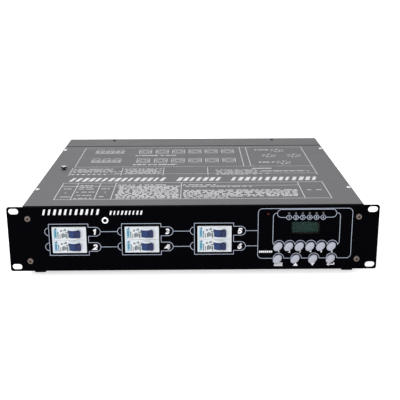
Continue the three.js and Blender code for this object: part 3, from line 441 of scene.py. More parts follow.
def refined(node, bevel):
    """A merged copy of a node's mesh, with its sharp edges rounded."""
    mesh = frame["nodes"][node].data.copy()
    mesh.transform(TO_FRAME.inverted())
    shape = bmesh.new()
    shape.from_mesh(mesh)
    bmesh.ops.remove_doubles(shape, verts=shape.verts, dist=1e-3)
    bmesh.ops.dissolve_limit(shape, angle_limit=math.radians(1), verts=shape.verts, edges=shape.edges)
    shape.to_mesh(mesh)
    shape.free()
    obj = linked("refined", mesh)
    step = obj.modifiers.new("round", "BEVEL")
    step.width, step.segments, step.limit_method = bevel, 2, "ANGLE"
    step.angle_limit = math.radians(30)
    step.use_clamp_overlap = True
    return mesh_of(obj)


def piece(name, mesh, materials, slot, *replaces, body=CASE, crease=38):
    """Turns a mesh into a finished piece of the object."""
    for material in materials if isinstance(materials, (list, tuple)) else [materials]:
        mesh.materials.append(material)
    mesh.transform(TO_FRAME)
    mesh.polygons.foreach_set("use_smooth", [True] * len(mesh.polygons))
    mesh.set_sharp_from_angle(angle=math.radians(crease))
    obj = linked(name, mesh)
    step = obj.modifiers.new("weighted normals", "WEIGHTED_NORMAL")
    step.keep_sharp = True
    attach(obj, body)
    if replaces:
        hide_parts(*replaces)


# Flat print: strokes, figures and bars, all thin solids that lie on a face

PRINT_RISE = 0.08
STROKE = 0.6
NARROWEST_LEAN = 0.35


def stroke(points, width=STROKE, closed=False):
    """A flat line of even width along a path, as a thin solid with mitred corners."""
    path = [Vector(point) for point in points]
    runs = [(after - here).normalized() for here, after in zip(path, path[1:] + path[:1])]
    if not closed:
        runs[-1] = runs[-2]
    shape = bmesh.new()
    sections = []
    for i, here in enumerate(path):
        into, out = runs[i - 1] if closed or i else runs[0], runs[i]
        across = Vector((-into.y, into.x))
        normal = Vector((-(into.y + out.y), into.x + out.x))
        normal = normal.normalized() if normal.length > 1e-6 else across
        aside = normal * (width / 2 / max(normal.dot(across), NARROWEST_LEAN))
        left, right = here + aside, here - aside
        corners = ((left, 0), (right, 0), (right, PRINT_RISE), (left, PRINT_RISE))
        sections.append([shape.verts.new((*place, height)) for place, height in corners])
    for here, after in zip(sections, sections[1:] + (sections[:1] if closed else [])):
        for a, b in ((3, 2), (0, 1), (0, 3), (1, 2)):
            shape.faces.new((here[a], here[b], after[b], after[a]))
    if not closed:
        shape.faces.new(sections[0])
        shape.faces.new(sections[-1])
    return outward(shape, "stroke")


def patch(points):
    """A filled flat shape of the print's thickness."""
    shape = bmesh.new()
    top, bottom = [[shape.verts.new((x, y, height)) for x, y in points] for height in (PRINT_RISE, 0)]
    shape.faces.new(top)
    shape.faces.new(bottom[::-1])
    for i in range(len(points)):
        k = (i + 1) % len(points)
        shape.faces.new((top[i], bottom[i], bottom[k], top[k]))
    return outward(shape, "patch")


def slanted_row(left, right, low, high, count, seed, gap):
    """A row of slanted bars of uneven width."""
    pitch, lean = (right - left) / count, (high - low) / 4
    made = []
    for index in range(count):
        x = left + index * pitch
        width = pitch * (1 - gap) * (0.62 + 0.3 * abs(math.sin(seed + 2.4 * index)))
        made.append(patch([(x, low), (x + width, low), (x + width + lean, high), (x + lean, high)]))
    return made


# Each figure's centre line in a frame one high, which its stroke fills to the edge
FIGURE_WIDTH = 0.62
FIGURE_LINES = {
    1: [[(0.1, 0.68), (0.36, 0.86), (0.36, 0.0)]],
    2: [[*arc(0.31, 0.66, 0.22, 170, -35, 9), (0.12, 0.12), (0.62, 0.12)]],
    3: [[*arc(0.29, 0.68, 0.2, 155, -80, 8), *arc(0.29, 0.32, 0.2, 80, -155, 8)]],
    4: [[(0.48, 0.0), (0.48, 0.9)], [(0.42, 0.9), (0.06, 0.3), (0.68, 0.3)]],
    5: [[(0.6, 0.88), (0.19, 0.88), (0.15, 0.5), *arc(0.3, 0.34, 0.22, 100, -155, 10)]],
    6: [[(0.5, 0.93), (0.3, 0.76), (0.13, 0.42)], [*arc(0.31, 0.32, 0.2, 0, 350, 16)]],
}


def figure(number, x, y, height, weight=0.24, slant=0.0, width=1.0):
    """A figure drawn with one even stroke, centred on its place."""
    made = []
    for line in FIGURE_LINES[number]:
        points = [(x + ((u - FIGURE_WIDTH / 2) * width + slant * (v - 0.5)) * height, y + (v - 0.5) * height)
                  for u, v in line]
        made.append(stroke(points, weight * height))
    return joined(made)


# Geometry Nodes trees for what repeats

def geometry_tree(name, **inputs):
    """A new tree with its named inputs and a material, the inputs' sockets and the step that closes it."""
    tree = bpy.data.node_groups.new(name, "GeometryNodeTree")
    for label, kind in {**inputs, "Material": "Material"}.items():
        tree.interface.new_socket(label.replace("_", " "), in_out="INPUT", socket_type=f"NodeSocket{kind}")
    tree.interface.new_socket("Geometry", in_out="OUTPUT", socket_type="NodeSocketGeometry")
    value = tree.nodes.new("NodeGroupInput").outputs
    end = tree.nodes.new("NodeGroupOutput")

    def close(instances):
        """Ends the tree in real geometry with its material set."""
        real = add(tree, "GeometryNodeRealizeInstances", Geometry=instances.outputs[0])
        finish = add(tree, "GeometryNodeSetMaterial", Geometry=real.outputs[0], Material=value["Material"])
        tree.links.new(finish.outputs[0], end.inputs[0])
        return tree

    return tree, value, close


def drawn(tree, low, high, seed):
    """A number for each point, between two limits."""
    return add(tree, "FunctionNodeRandomValue", {"data_type": "FLOAT"},
               {2: low, 3: high, "Seed": seed}).outputs[1]


def on_points(tree, points, instance, **more):
    return add(tree, "GeometryNodeInstanceOnPoints", Points=points, Instance=instance, **more)


def print_rows_tree():
    """Rows of short dashes with uneven lengths, as small print looks from a step away."""
    tree, value, close = geometry_tree(
        "print_rows", Width="Float", Height="Float", Columns="Int", Rows="Int", Dash_Length="Float",
        Dash_Height="Float", Rise="Float", Shortest="Float", Shift="Float", Gaps="Float", Seed="Int")
    grid = add(tree, "GeometryNodeMeshGrid", Size_X=value["Width"], Size_Y=value["Height"],
               Vertices_X=value["Columns"], Vertices_Y=value["Rows"])
    gap = add(tree, "FunctionNodeRandomValue", {"data_type": "BOOLEAN"}, Probability=value["Gaps"],
              Seed=value["Seed"])
    kept = add(tree, "GeometryNodeDeleteGeometry", Geometry=grid.outputs[0], Selection=gap.outputs[3])
    half = reckoned(tree, "MULTIPLY", value["Dash Length"], value["Shift"])
    drift = drawn(tree, reckoned(tree, "MULTIPLY", half, -1.0), half, value["Seed"])
    uneven = add(tree, "GeometryNodeSetPosition", Geometry=kept.outputs[0], Offset=vector(tree, X=drift))
    size = vector(tree, X=value["Dash Length"], Y=value["Dash Height"], Z=value["Rise"])
    dash = add(tree, "GeometryNodeMeshCube", Size=size)
    lift = vector(tree, Z=reckoned(tree, "MULTIPLY", value["Rise"], 0.5))
    raised = add(tree, "GeometryNodeTransform", Geometry=dash.outputs[0], Translation=lift)
    share = drawn(tree, value["Shortest"], 1.0, value["Seed"])
    stretch = vector(tree, X=share, Y=1.0, Z=share)
    return close(on_points(tree, uneven.outputs[0], raised.outputs[0], Scale=stretch))


def set_screws_tree():
    """A screw head on each point, each turned to its own angle."""
    tree, value, close = geometry_tree("set_screws", Geometry="Geometry", Head="Object", Diameter="Float",
                                       Seed="Int")
    head = add(tree, "GeometryNodeObjectInfo", Object=value["Head"])
    turn = vector(tree, Z=drawn(tree, 0.0, math.tau, value["Seed"]))
    return close(on_points(tree, value["Geometry"], head.outputs["Geometry"], Rotation=turn,
                           Scale=value["Diameter"]))


def winding_tree():
    """Turns of wire round a ring core: one closed loop at each step round the ring."""
    tree, value, close = geometry_tree(
        "winding", Geometry="Geometry", Ring_Radius="Float", Turns="Int", Loop_Width="Float",
        Loop_Height="Float", Corner="Float", Wire_Diameter="Float")
    path = add(tree, "GeometryNodeCurvePrimitiveQuadrilateral", Width=value["Loop Width"],
               Height=value["Loop Height"])
    rounded = add(tree, "GeometryNodeFilletCurve", {"mode": "POLY"}, Curve=path.outputs[0],
                  Radius=value["Corner"], Count=2)
    radius = reckoned(tree, "MULTIPLY", value["Wire Diameter"], 0.5)
    section = add(tree, "GeometryNodeCurvePrimitiveCircle", Radius=radius, Resolution=6)
    wire = add(tree, "GeometryNodeCurveToMesh", Curve=rounded.outputs[0], Profile_Curve=section.outputs[0])
    upright_wire = add(tree, "GeometryNodeTransform", Geometry=wire.outputs[0],
                       Rotation=(math.radians(90), 0, 0))
    ring = add(tree, "GeometryNodeMeshCircle", Vertices=value["Turns"], Radius=value["Ring Radius"])
    index = add(tree, "GeometryNodeInputIndex").outputs[0]
    step = reckoned(tree, "DIVIDE", math.tau, value["Turns"])
    turn = vector(tree, Z=reckoned(tree, "MULTIPLY", index, step))
    coil = on_points(tree, ring.outputs[0], upright_wire.outputs[0], Rotation=turn)
    return close(on_points(tree, value["Geometry"], coil.outputs[0]))


PRINT_ROWS, SET_SCREWS, WINDING = print_rows_tree(), set_screws_tree(), winding_tree()


def grown(tree, values, points=((0, 0, 0),)):
    """The plain mesh that a tree makes from points and named values."""
    seeds = bpy.data.meshes.new("points")
    seeds.from_pydata(points, [], [])
    host = linked("grown", seeds)
    step = host.modifiers.new("nodes", "NODES")
    step.node_group = tree
    for item in tree.interface.items_tree:
        if item.in_out == "INPUT" and item.name in values:
            step[item.identifier] = values[item.name]
    host.update_tag()
    return mesh_of(host)


def print_rows(x, y, width, height, rows, dash, dash_height, seed, shortest=0.55, shift=0.0, gaps=0.0):
    """A block of small print from its lower left corner, as rows of dashes."""
    columns = max(int(round(width / dash)), 2)
    pitch = width / columns
    mesh = grown(PRINT_ROWS, {
        "Width": width - pitch, "Height": height - dash_height, "Columns": columns, "Rows": rows,
        "Dash Length": pitch * 0.92, "Dash Height": dash_height, "Rise": PRINT_RISE, "Shortest": shortest,
        "Shift": shift, "Gaps": gaps, "Seed": seed, "Material": COVER_PRINT})
    return moved(mesh, x + width / 2, y + height / 2)


# Front panel: the plate with its openings

SLOT_X, SLOT_Z = PANEL_WIDTH / 2 - 8.75, PANEL_HEIGHT / 2 - 5.95
SLOT_LENGTH, SLOT_WIDTH = 12.9, 8.0
PANEL_CORNER, PANEL_EDGE = 3.0, 0.45
WINDOW_WIDTH, WINDOW_HEIGHT, WINDOW_CORNER = 44.8, 36.2, 0.5
WINDOW_MIDDLE = (BREAKER_PLACES[0][1] + BREAKER_PLACES[1][1]) / 2
DISPLAY_WIDTH, DISPLAY_HEIGHT, DISPLAY_CORNER = 36.8, 17.8, 0.6
BUTTON_LENGTH, BUTTON_WIDTH = 13.4, 9.4
BUTTON_GAP = 0.3
LED_PITCH, LED_RADIUS = 8.9, 1.5
LED_X = [middle("channel_led_bar").x + LED_PITCH * (number - 3.5) for number in CHANNELS]
LED_Z = middle("channel_led_bar").z
STUD_RADIUS, STUD_INSET, STUD_SPREAD = 2.5, 4.0, 44.0
EAR_SCREWS = [f"ear_screw_{side}_{end}" for side in ("left", "right") for end in ("upper", "lower")]
EAR_SCREW_HOLE, BRACKET_SCREW_HOLE = 2.3, 2.8


def front_panel():
    holes = [long_hole(sx * SLOT_X, PANEL_MIDDLE + sz * SLOT_Z, SLOT_LENGTH, SLOT_WIDTH)
             for sx in SIDES for sz in SIDES]
    holes += [box_outline(x, WINDOW_MIDDLE, WINDOW_WIDTH, WINDOW_HEIGHT, WINDOW_CORNER) for x in COLUMNS]
    holes.append(box_outline(DISPLAY.x, DISPLAY.z, DISPLAY_WIDTH, DISPLAY_HEIGHT, DISPLAY_CORNER))
    button_hole = BUTTON_LENGTH + 2 * BUTTON_GAP, BUTTON_WIDTH + 2 * BUTTON_GAP
    holes += [tilted_oval(*spot(name), *button_hole) for name in CHANNEL_BUTTONS + MENU_BUTTONS]
    lamps = [(x, LED_Z) for x in LED_X] + [spot("power_led")]
    holes += [circle(x, z, LED_RADIUS + BUTTON_GAP, 24) for x, z in lamps]
    holes += [circle(*spot(name), EAR_SCREW_HOLE, 24) for name in EAR_SCREWS]
    holes.append(circle(*spot("bracket_screw"), BRACKET_SCREW_HOLE, 24))
    outline = box_outline(0, PANEL_MIDDLE, PANEL_WIDTH, PANEL_HEIGHT, PANEL_CORNER)
    made = [moved(plate(outline, holes, PANEL_THICKNESS, PANEL_EDGE), y=PANEL_THICKNESS, facing=FRONT)]
    board_low, board_high = span("control_board")
    back = PANEL[1].y
    for x in (board_low.x + STUD_INSET, board_high.x - STUD_INSET):
        for side in SIDES:
            stud = disc(STUD_RADIUS, 0, back - PANEL_THICKNESS, 24)
            made.append(moved(stud, x, back, middle("control_board").z + side * STUD_SPREAD / 2, FRONT))
    return joined(made)


piece("panel_plate", front_panel(), BLACK_PAINT, "black_paint", "front_panel")


# Circuit breakers: a moulded body with its nose in the window, and a lever on a drum

NOSE_FACE, NOSE_HALF = -1.5, WINDOW_WIDTH / 2 - BUTTON_GAP
SHOULDER = 15.5
BODY_HALF = (span("breaker_body_1")[1].x - span("breaker_body_1")[0].x) / 2
BODY_BACK = 60.5
MODULE_WIDTH = 17.5
LEVER_SHIFT, HINGE_Y = 5.9, 3.5
DRUM_RADIUS, POCKET_RADIUS, CHEEK_RADIUS = 8.0, 8.4, 9.6
LEVER_WIDTH, HANDLE_WIDTH, LEVER_GAP = 10.3, 9.2, 0.15
LEVER_REACH, LEVER_TIP, LEVER_NECK, LEVER_LEAN = 13.0, 2.2, 1.7, -50.0
CHEEK_OUTSIDE, CHEEK_OVERLAP = 7.0, 0.02
RIB_COUNT, RIB_PITCH, RIB_WIDTH, RIB_HEIGHT = 3, 1.1, 0.5, 0.55


def breaker_profile():
    """The body seen from above: nose, shoulders, sides with terminal mouths, and hooks for the rail."""
    mouth, near, far = BODY_HALF - 12, SHOULDER + 9.5, SHOULDER + 18.5
    inner, brim, outer = 15.3, 17.8, 20.3
    lip, hook = BODY_BACK + 1.6, BODY_BACK + 4.1
    right = [(NOSE_HALF, NOSE_FACE), (NOSE_HALF, SHOULDER), (BODY_HALF - 3, SHOULDER),
             (BODY_HALF, SHOULDER + 3), (BODY_HALF, near), (mouth, near), (mouth, far), (BODY_HALF, far),
             (BODY_HALF, BODY_BACK), (outer, BODY_BACK), (outer, hook), (inner, hook), (inner, lip),
             (brim, lip), (brim, BODY_BACK)]
    return right + [(-x, y) for x, y in reversed(right)]


def breaker_body():
    """The moulded body, centred on its own column and height."""
    shell = moved(plate(breaker_profile(), thickness=MODULE_WIDTH, bevel=0.2), z=-MODULE_WIDTH / 2)
    half = LEVER_WIDTH / 2 + LEVER_GAP
    inside = half - CHEEK_OVERLAP
    for low, high in ((inside, CHEEK_OUTSIDE), (-CHEEK_OUTSIDE, -inside)):
        cheek = moved(disc(CHEEK_RADIUS, low, high, 48, 0.35), LEVER_SHIFT, HINGE_Y)
        shell = combined(shell, cheek, "UNION")
    return combined(shell, moved(disc(POCKET_RADIUS, -half, half, 64), LEVER_SHIFT, HINGE_Y))


# Marks by the breakers' inks, each as its middle's place, its width and its height
BREAKER_MARKS = (
    (1, ((-19.8, 0, 1.8, 15.4), (-15.5, 0.6, 1.5, 14.2))),
    (0, ((-17.7, -0.2, 2.7, 8.4), (-17.8, 5.5, 2.5, 2.0), (-17.7, -5.6, 2.6, 1.3))),
    (2, ((-14.3, -3.6, 1.3, 6.4), (-11.8, -3.8, 1.3, 6.0), (-10.0, 3.8, 3.0, 2.6), (-7.3, -2.2, 2.5, 6.4),
         (-4.7, 5.2, 2.2, 3.2), (-4.2, -2.6, 1.0, 5.0), (-2.6, 0.4, 1.3, 3.0), (-1.5, 5.4, 1.2, 2.6))),
    (3, ((-17.0, 6.7, 1.3, 2.2), (-14.3, 1.0, 1.3, 2.8), (-9.2, -3.0, 1.3, 5.6), (-6.6, 4.6, 1.3, 1.5),
         (-5.4, -2.4, 1.0, 4.0), (-4.0, 1.7, 1.3, 1.6), (-2.7, -4.0, 1.4, 5.8), (-1.5, 2.2, 1.2, 2.2))))


def breaker_print():
    """Small marks left of the lever: a blue column on a pale one, then a plain diagram in two greys."""
    marks = [painted(patch(box_outline(*mark)), index) for index, marks in BREAKER_MARKS for mark in marks]
    return moved(joined(marks), y=NOSE_FACE, facing=FRONT)


def breaker_lever():
    """Drum and handle, centred on the hinge."""
    drum = disc(DRUM_RADIUS, -LEVER_WIDTH / 2, LEVER_WIDTH / 2, 64, 0.4)
    tip = LEVER_REACH - LEVER_TIP
    broad = [(5.6, -5.4), (7.0, -4.2), (7.8, -2.05), (8.45, -1.55), (9.4, -2.3)]
    slim = [(tip - 1.2, LEVER_NECK + 0.2), (5.0, LEVER_NECK)]
    outline = broad + arc(tip, 0, LEVER_TIP, -85, 85, 10) + slim
    grip = [moved(plate(outline, thickness=HANDLE_WIDTH, bevel=0.5), z=-HANDLE_WIDTH / 2)]
    rib_half = HANDLE_WIDTH / 2 - 1
    for index in range(RIB_COUNT):
        x = tip - 2.4 + index * RIB_PITCH
        low, high = (x, LEVER_NECK, -rib_half), (x + RIB_WIDTH, LEVER_NECK + RIB_HEIGHT, rib_half)
        grip.append(block(low, high, 0.12))
    # The drum takes the lighter blue and the handle the darker one, as painted light and shade on one moulded
    # lever.
    return joined([painted(drum, 0), painted(moved(joined(grip), spin=LEVER_LEAN), 1)])


BODY_SHAPE, PRINT_SHAPE, LEVER_SHAPE = breaker_body(), breaker_print(), breaker_lever()
for number, (x, z) in zip(CHANNELS, BREAKER_PLACES):
    piece(f"breaker_{number}_body", moved(BODY_SHAPE.copy(), x, 0, z), BREAKER_WHITE, "breaker_white",
          f"breaker_body_{number}")
    piece(f"breaker_{number}_print", moved(PRINT_SHAPE.copy(), x, 0, z), BREAKER_INKS, "breaker_white")
    piece(f"breaker_{number}_lever", moved(LEVER_SHAPE.copy(), x + LEVER_SHIFT, HINGE_Y, z),
          [LEVER_LIT_BLUE, LEVER_SHADED_BLUE], "lever_blue", f"breaker_lever_{number}", body=f"lever_{number}")


# Print on the front panel, in the panel's own x and height

BOX_LEFT, BOX_RIGHT, BOX_LOW, BOX_HIGH = -26.25, 24.85, 22.0, 65.1
TAB_RADIUS, TAB_REACH, TAB_HEIGHTS = 6.1, 9.6, (54.4, 33.3)
LEFT_TAB_RADIUS, LEFT_TAB_HEIGHTS = 5.4, (54.6, 33.8)
CONTROL_LEFT, CONTROL_RIGHT, CONTROL_LOW, CONTROL_HIGH, CONTROL_CORNER = 84.0, 206.4, 15.7, 84.2, 5.4
RING_SHIFT, RING_RADIUS, CHANNEL_RING_Z = 1.5, 7.0, 33.5
MENU_RINGS = [middle(name).x + RING_SHIFT for name in MENU_BUTTONS]
CHANNEL_RINGS = [middle(name).x + RING_SHIFT for name in CHANNEL_BUTTONS]
CAPSULE_LEFT, CAPSULE_RIGHT, CAPSULE_LOW, CAPSULE_HIGH = 108.8, 185.6, 72.1, 83.0
NUMBER_RING, NUMBER_STROKE = 3.1, 0.62
SMALL_FIGURE = 3.4


def channel_box(x):
    """The frame line round one pair of breakers, with its round tabs on both sides."""
    left, right = x + BOX_LEFT, x + BOX_RIGHT
    path = [(right, BOX_HIGH)]
    for height in TAB_HEIGHTS:
        path.append((right, height + TAB_RADIUS))
        path += arc(right + TAB_REACH, height, TAB_RADIUS, 90, -90, 16)
        path.append((right, height - TAB_RADIUS))
    path += [(right, BOX_LOW), (left, BOX_LOW), (left, BOX_HIGH)]
    tabs = [stroke(arc(left, height, LEFT_TAB_RADIUS, 262, 98, 16)) for height in LEFT_TAB_HEIGHTS]
    return [stroke(path, closed=True), *tabs]


def channel_links():
    """Lines from each box's right tabs to what stands to their right."""
    starts = [x + BOX_RIGHT + TAB_REACH + TAB_RADIUS for x in COLUMNS]
    ends = [x + BOX_LEFT - LEFT_TAB_RADIUS for x in COLUMNS[1:]] + [CONTROL_LEFT]
    return [stroke([(start, height), (end, height)]) for start, end in zip(starts, ends)
            for height in TAB_HEIGHTS]


def channel_figures():
    """Each channel's number in its tab and, small, under its button."""
    made = []
    for number, (x, _), name in zip(CHANNELS, BREAKER_PLACES, CHANNEL_BUTTONS):
        height = TAB_HEIGHTS[(number - 1) % 2] - 0.2
        made.append(figure(number, x + BOX_RIGHT + 8.3, height, 7.8, 0.25, slant=0.16, width=1.2))
        made.append(figure(number, middle(name).x + 1.3, 25.2, SMALL_FIGURE))
    return made


def control_outline():
    """The outer line of the controls, whose bottom runs over the menu buttons."""
    left, right = CONTROL_LEFT + CONTROL_CORNER, CONTROL_RIGHT - CONTROL_CORNER
    low, high = CONTROL_LOW + CONTROL_CORNER, CONTROL_HIGH - CONTROL_CORNER
    path = arc(left, low, CONTROL_CORNER, 180, 270, 8)
    for x in MENU_RINGS:
        path += arc(x, CONTROL_LOW, RING_RADIUS, 180, 0, 18)
    for x, z, start in ((right, low, 270), (right, high, 0), (left, high, 90)):
        path += arc(x, z, CONTROL_CORNER, start, start + 90, 8)
    return stroke(path, closed=True)


def lamp_outline():
    """The capsule round the channel lamps, its lower line broken by a ringed number under each lamp."""
    middle_z, end = (CAPSULE_LOW + CAPSULE_HIGH) / 2, (CAPSULE_HIGH - CAPSULE_LOW) / 2
    path = [(LED_X[0] - NUMBER_RING, CAPSULE_LOW), *arc(CAPSULE_LEFT + end, middle_z, end, 270, 90, 16),
            *arc(CAPSULE_RIGHT - end, middle_z, end, 90, -90, 16), (LED_X[-1] + NUMBER_RING, CAPSULE_LOW)]
    made = [stroke(path)]
    for x, after in zip(LED_X, LED_X[1:]):
        made.append(stroke([(x + NUMBER_RING, CAPSULE_LOW), (after - NUMBER_RING, CAPSULE_LOW)]))
    for number, x in zip(CHANNELS, LED_X):
        made.append(stroke(circle(x, CAPSULE_LOW, NUMBER_RING, 28), NUMBER_STROKE, closed=True))
        made.append(figure(number, x, CAPSULE_LOW, SMALL_FIGURE, 0.18))
    return made


def button_outline():
    """The line from the lamps down both sides of the display and over the channel buttons."""
    left, right, top, corner = 103.5, 190.6, 78.0, 4.5
    path = [(CAPSULE_LEFT, top), *arc(left + corner, top - corner, corner, 90, 180, 6)]
    path.append((left, CHANNEL_RING_Z + 4))
    for x in CHANNEL_RINGS:
        path += arc(x, CHANNEL_RING_Z, RING_RADIUS, 172, 8, 16)
    path.append((right, CHANNEL_RING_Z + 4))
    path += [*arc(right - corner, top - corner, corner, 0, 90, 6), (CAPSULE_RIGHT, top)]
    return stroke(path)


def menu_signs():
    """A plain sign under each menu button: list, up, down, back."""
    low, high = 4.9, 9.4
    made = [patch(box_outline(MENU_RINGS[0], low + 0.5 + 1.75 * row, 11.0, 1.1)) for row in range(3)]
    x = MENU_RINGS[1] - 0.6
    made.append(patch([(x - 3.4, low), (x + 3.4, low), (x, high)]))
    x = MENU_RINGS[2] - 1.4
    made.append(patch([(x - 3.4, high), (x, low), (x + 3.4, high)]))
    x, level = MENU_RINGS[3] - 1.0, (low + high) / 2 - 0.4
    made.append(stroke([(x + 4.4, high), (x + 4.4, level), (x - 2.6, level)], 1.2))
    made.append(patch([(x - 5.4, level), (x - 1.8, level - 2.2), (x - 1.8, level + 2.2)]))
    return made


def panel_print():
    lines = [line for x in COLUMNS for line in channel_box(x)] + channel_links()
    lines += [control_outline(), *lamp_outline(), button_outline()]
    bold = channel_figures() + menu_signs()
    bold.append(print_rows(85.4, 23.4, 18.0, 3.2, 1, dash=2.6, dash_height=2.7, seed=5))
    bold += slanted_row(-195.3, -119.0, 77.6, 85.1, 11, 0.4, 0.5)
    bold += slanted_row(-108.6, -64.2, 77.3, 82.7, 9, 1.1, 0.5)
    return moved(joined([painted(joined(lines), 0), painted(joined(bold), 1)]), facing=FRONT)


piece("panel_print", panel_print(), [LINE_PRINT, WHITE_PRINT], "black_paint")


# Controls: domed buttons, lamps and the display

BUTTON_PROUD, BUTTON_DOME = 2.4, 0.9
BUTTON_BACK, BUTTON_FLANGE = -4.3, 0.8
LENS_SEAT, LENS_DOME = -0.7, 1.5
GLASS_REACH_X, GLASS_REACH_Z = 20, 10
BEZEL_LIP_X, BEZEL_LIP_Z = 2.4, 0.6


def push_button():
    """A domed oval cap with its flange behind the panel, facing up."""
    radius, crown = BUTTON_LENGTH / 2, BUTTON_PROUD + BUTTON_DOME
    flange, flange_top = radius + BUTTON_FLANGE, BUTTON_BACK + 1
    shoulder, rounding = BUTTON_PROUD - 0.7, 0.7
    profile = [(0, BUTTON_BACK), (flange, BUTTON_BACK), (flange, flange_top), (radius, flange_top),
               (radius, shoulder), *arc(radius - rounding, shoulder, rounding, 10, 70, 5)]
    profile += [(radius * share, BUTTON_PROUD + BUTTON_DOME * (1 - share ** 2))
                for share in (0.86, 0.78, 0.66, 0.52, 0.36, 0.18)]
    profile += [(0.8, crown - 0.02), (0.6, crown - 0.3), (0, crown - 0.35)]
    mesh = turned(profile, 64)
    mesh.transform(about_z(45) @ Matrix.Diagonal((1, BUTTON_WIDTH / BUTTON_LENGTH, 1, 1)))
    return mesh


def lamp(depth):
    """A round lens that stands out of the panel by its dome, facing up."""
    dome = [(LED_RADIUS * math.cos(a), LENS_SEAT + LENS_DOME * math.sin(a)) for a in (0.35, 0.7, 1.05, 1.35)]
    return turned([(0, -depth), (LED_RADIUS, -depth), (LED_RADIUS, LENS_SEAT), *dome,
                   (0, LENS_SEAT + LENS_DOME)], 32)


def channel_lamps():
    """Six lenses on one bar behind the panel."""
    low, high = span("channel_led_bar")
    bar = painted(block((low.x, 3.3, low.z), high, 0.4), 1)
    return joined([bar, *[moved(painted(lamp(3.6), 0), x, 0, LED_Z, FRONT) for x in LED_X]])


def sheet_between(node, holes=(), bevel=0.2):
    """A plate with the size and place of a node that lies in X and Z, seen from the front."""
    low, high = span(node)
    outline = box_outline(*spot(node), high.x - low.x, high.z - low.z, 0.8)
    return moved(plate(outline, holes, high.y - low.y, bevel), y=high.y, facing=FRONT)


def display():
    """A dark bezel with the display's glass set back in it."""
    hole = box_outline(DISPLAY.x, DISPLAY.z, DISPLAY_WIDTH - BEZEL_LIP_X, DISPLAY_HEIGHT - BEZEL_LIP_Z, 0.4)
    bezel = sheet_between("display_module", [hole], 0.25)
    low, high = span("display_module")
    glass = block((DISPLAY.x - GLASS_REACH_X, low.y + 0.5, DISPLAY.z - GLASS_REACH_Z),
                  (DISPLAY.x + GLASS_REACH_X, high.y - 0.4, DISPLAY.z + GLASS_REACH_Z), 0.1)
    return joined([painted(bezel, 0), painted(glass, 1)])


for name in CHANNEL_BUTTONS + MENU_BUTTONS:
    piece(f"{name}_cap", on_front(push_button(), name), BUTTON_GREY, "button_grey", name, body=name,
          crease=50)
piece("channel_lamps", channel_lamps(), [LAMP_GREY, BLACK_PLASTIC], "lamp_grey", "channel_led_bar")
power_lamp = joined([painted(lamp(5.3), 0), painted(disc(2.5, -12, -5, 24), 1)])
piece("power_lamp", on_front(power_lamp, "power_led"), [LAMP_RED, BLACK_PLASTIC], "lamp_red", "power_led")
piece("display_pane", sheet_between("display_window"), CLEAR, "window_clear", "display_window")
piece("display_unit", display(), [BEZEL, LCD], "display_green", "display_module")


# Screws on the front

def socket_screw(radius, height, shank, length, socket, socket_depth, crown):
    """A round-headed screw with a six-sided socket, its head's seat at z = 0, facing up."""
    seat, floor = height - crown, height - socket_depth
    profile = [(0, -length), (shank * 0.8, -length), (shank, 0.8 - length), (shank, 0), (radius, 0),
               (radius, seat)]
    profile += [(radius - crown + crown * math.cos(a), seat + crown * math.sin(a)) for a in (0.4, 0.8, 1.2)]
    profile += [(radius - crown, height), (0, height)]
    mesh = combined(turned(profile), disc(socket, floor, height + 1, 6))
    for face in mesh.polygons:
        # The faces inside the socket take the second material, a darker copy painted as the shade in the
        # recess.
        x, y, z = face.center
        face.material_index = int(math.hypot(x, y) < socket and floor - 0.01 < z < height - 0.01)
    return mesh


for name in EAR_SCREWS:
    screw = socket_screw(3.83, 2.6, 2.0, 9.0, 1.9, 1.5, 1.1)
    piece(f"{name}_head", on_front(screw, name, 17 * len(name)), [BRONZE, BRONZE_PAINTED_SHADE], "bronze_steel", name)
ring_screw = socket_screw(4.45, 1.6, 2.9, 10.0, 2.75, 4.0, 0.7)
piece("bracket_screw_head", on_front(ring_screw, "bracket_screw"), [BRIGHT_STEEL, PAINTED_RECESS_SHADE], "bright_steel",
      "bracket_screw")


# Case of folded sheet

SHEET, SHEET_EDGE = 1.5, 0.4
FLANGE, FLANGE_EDGE = 15.0, 0.3
FLANGE_FRONT, FLANGE_TOP = 4.6, 81.0
TRAY_LOW, TRAY_HIGH = span("chassis_tray")
VENT_Y, VENT_PITCH, VENT_COUNT, VENT_LENGTH, VENT_WIDTH = 200.0, 10.0, 10, 44.0, 4.0
OUTLET_HOLE, SOCKET_HOLE, GLAND_HOLE, EARTH_SCREW_HOLE = 22.1, 12.1, 12.3, 2.3


def tray_side(side):
    """One side wall with its row of vents."""
    low, high = TRAY_LOW, TRAY_HIGH
    outline = box_outline((low.y + high.y) / 2 * side, (low.z + high.z) / 2, high.y - low.y, high.z - low.z,
                          FLANGE_EDGE, 3)
    vents = []
    for index in range(VENT_COUNT):
        y = (VENT_Y + (index - (VENT_COUNT - 1) / 2) * VENT_PITCH) * side
        vents.append([(y - v, PANEL_MIDDLE + u) for u, v in long_hole(0, 0, VENT_LENGTH, VENT_WIDTH)])
    wall = plate(outline, vents, SHEET, FLANGE_EDGE)
    return moved(wall, x=side * (HALF_CASE - SHEET), facing=RIGHT if side > 0 else LEFT)


def chassis():
    """Floor and side walls, with flanges along the top, the front and the rear."""
    low, high = TRAY_LOW, TRAY_HIGH
    walls = [block((-HALF_CASE, low.y, low.z), (HALF_CASE, high.y, low.z + SHEET), FLANGE_EDGE)]
    for side in SIDES:
        inner, outer = sorted((side * (HALF_CASE - FLANGE), side * (HALF_CASE - 0.4)))
        walls.append(tray_side(side))
        for near, far in (((FLANGE_FRONT, high.z - SHEET), (high.y, high.z)),
                          ((low.y, low.z), (low.y + SHEET, FLANGE_TOP)),
                          ((high.y - SHEET, low.z), (high.y, high.z))):
            walls.append(block((inner, *near), (outer, *far), FLANGE_EDGE))
    return joined(walls)


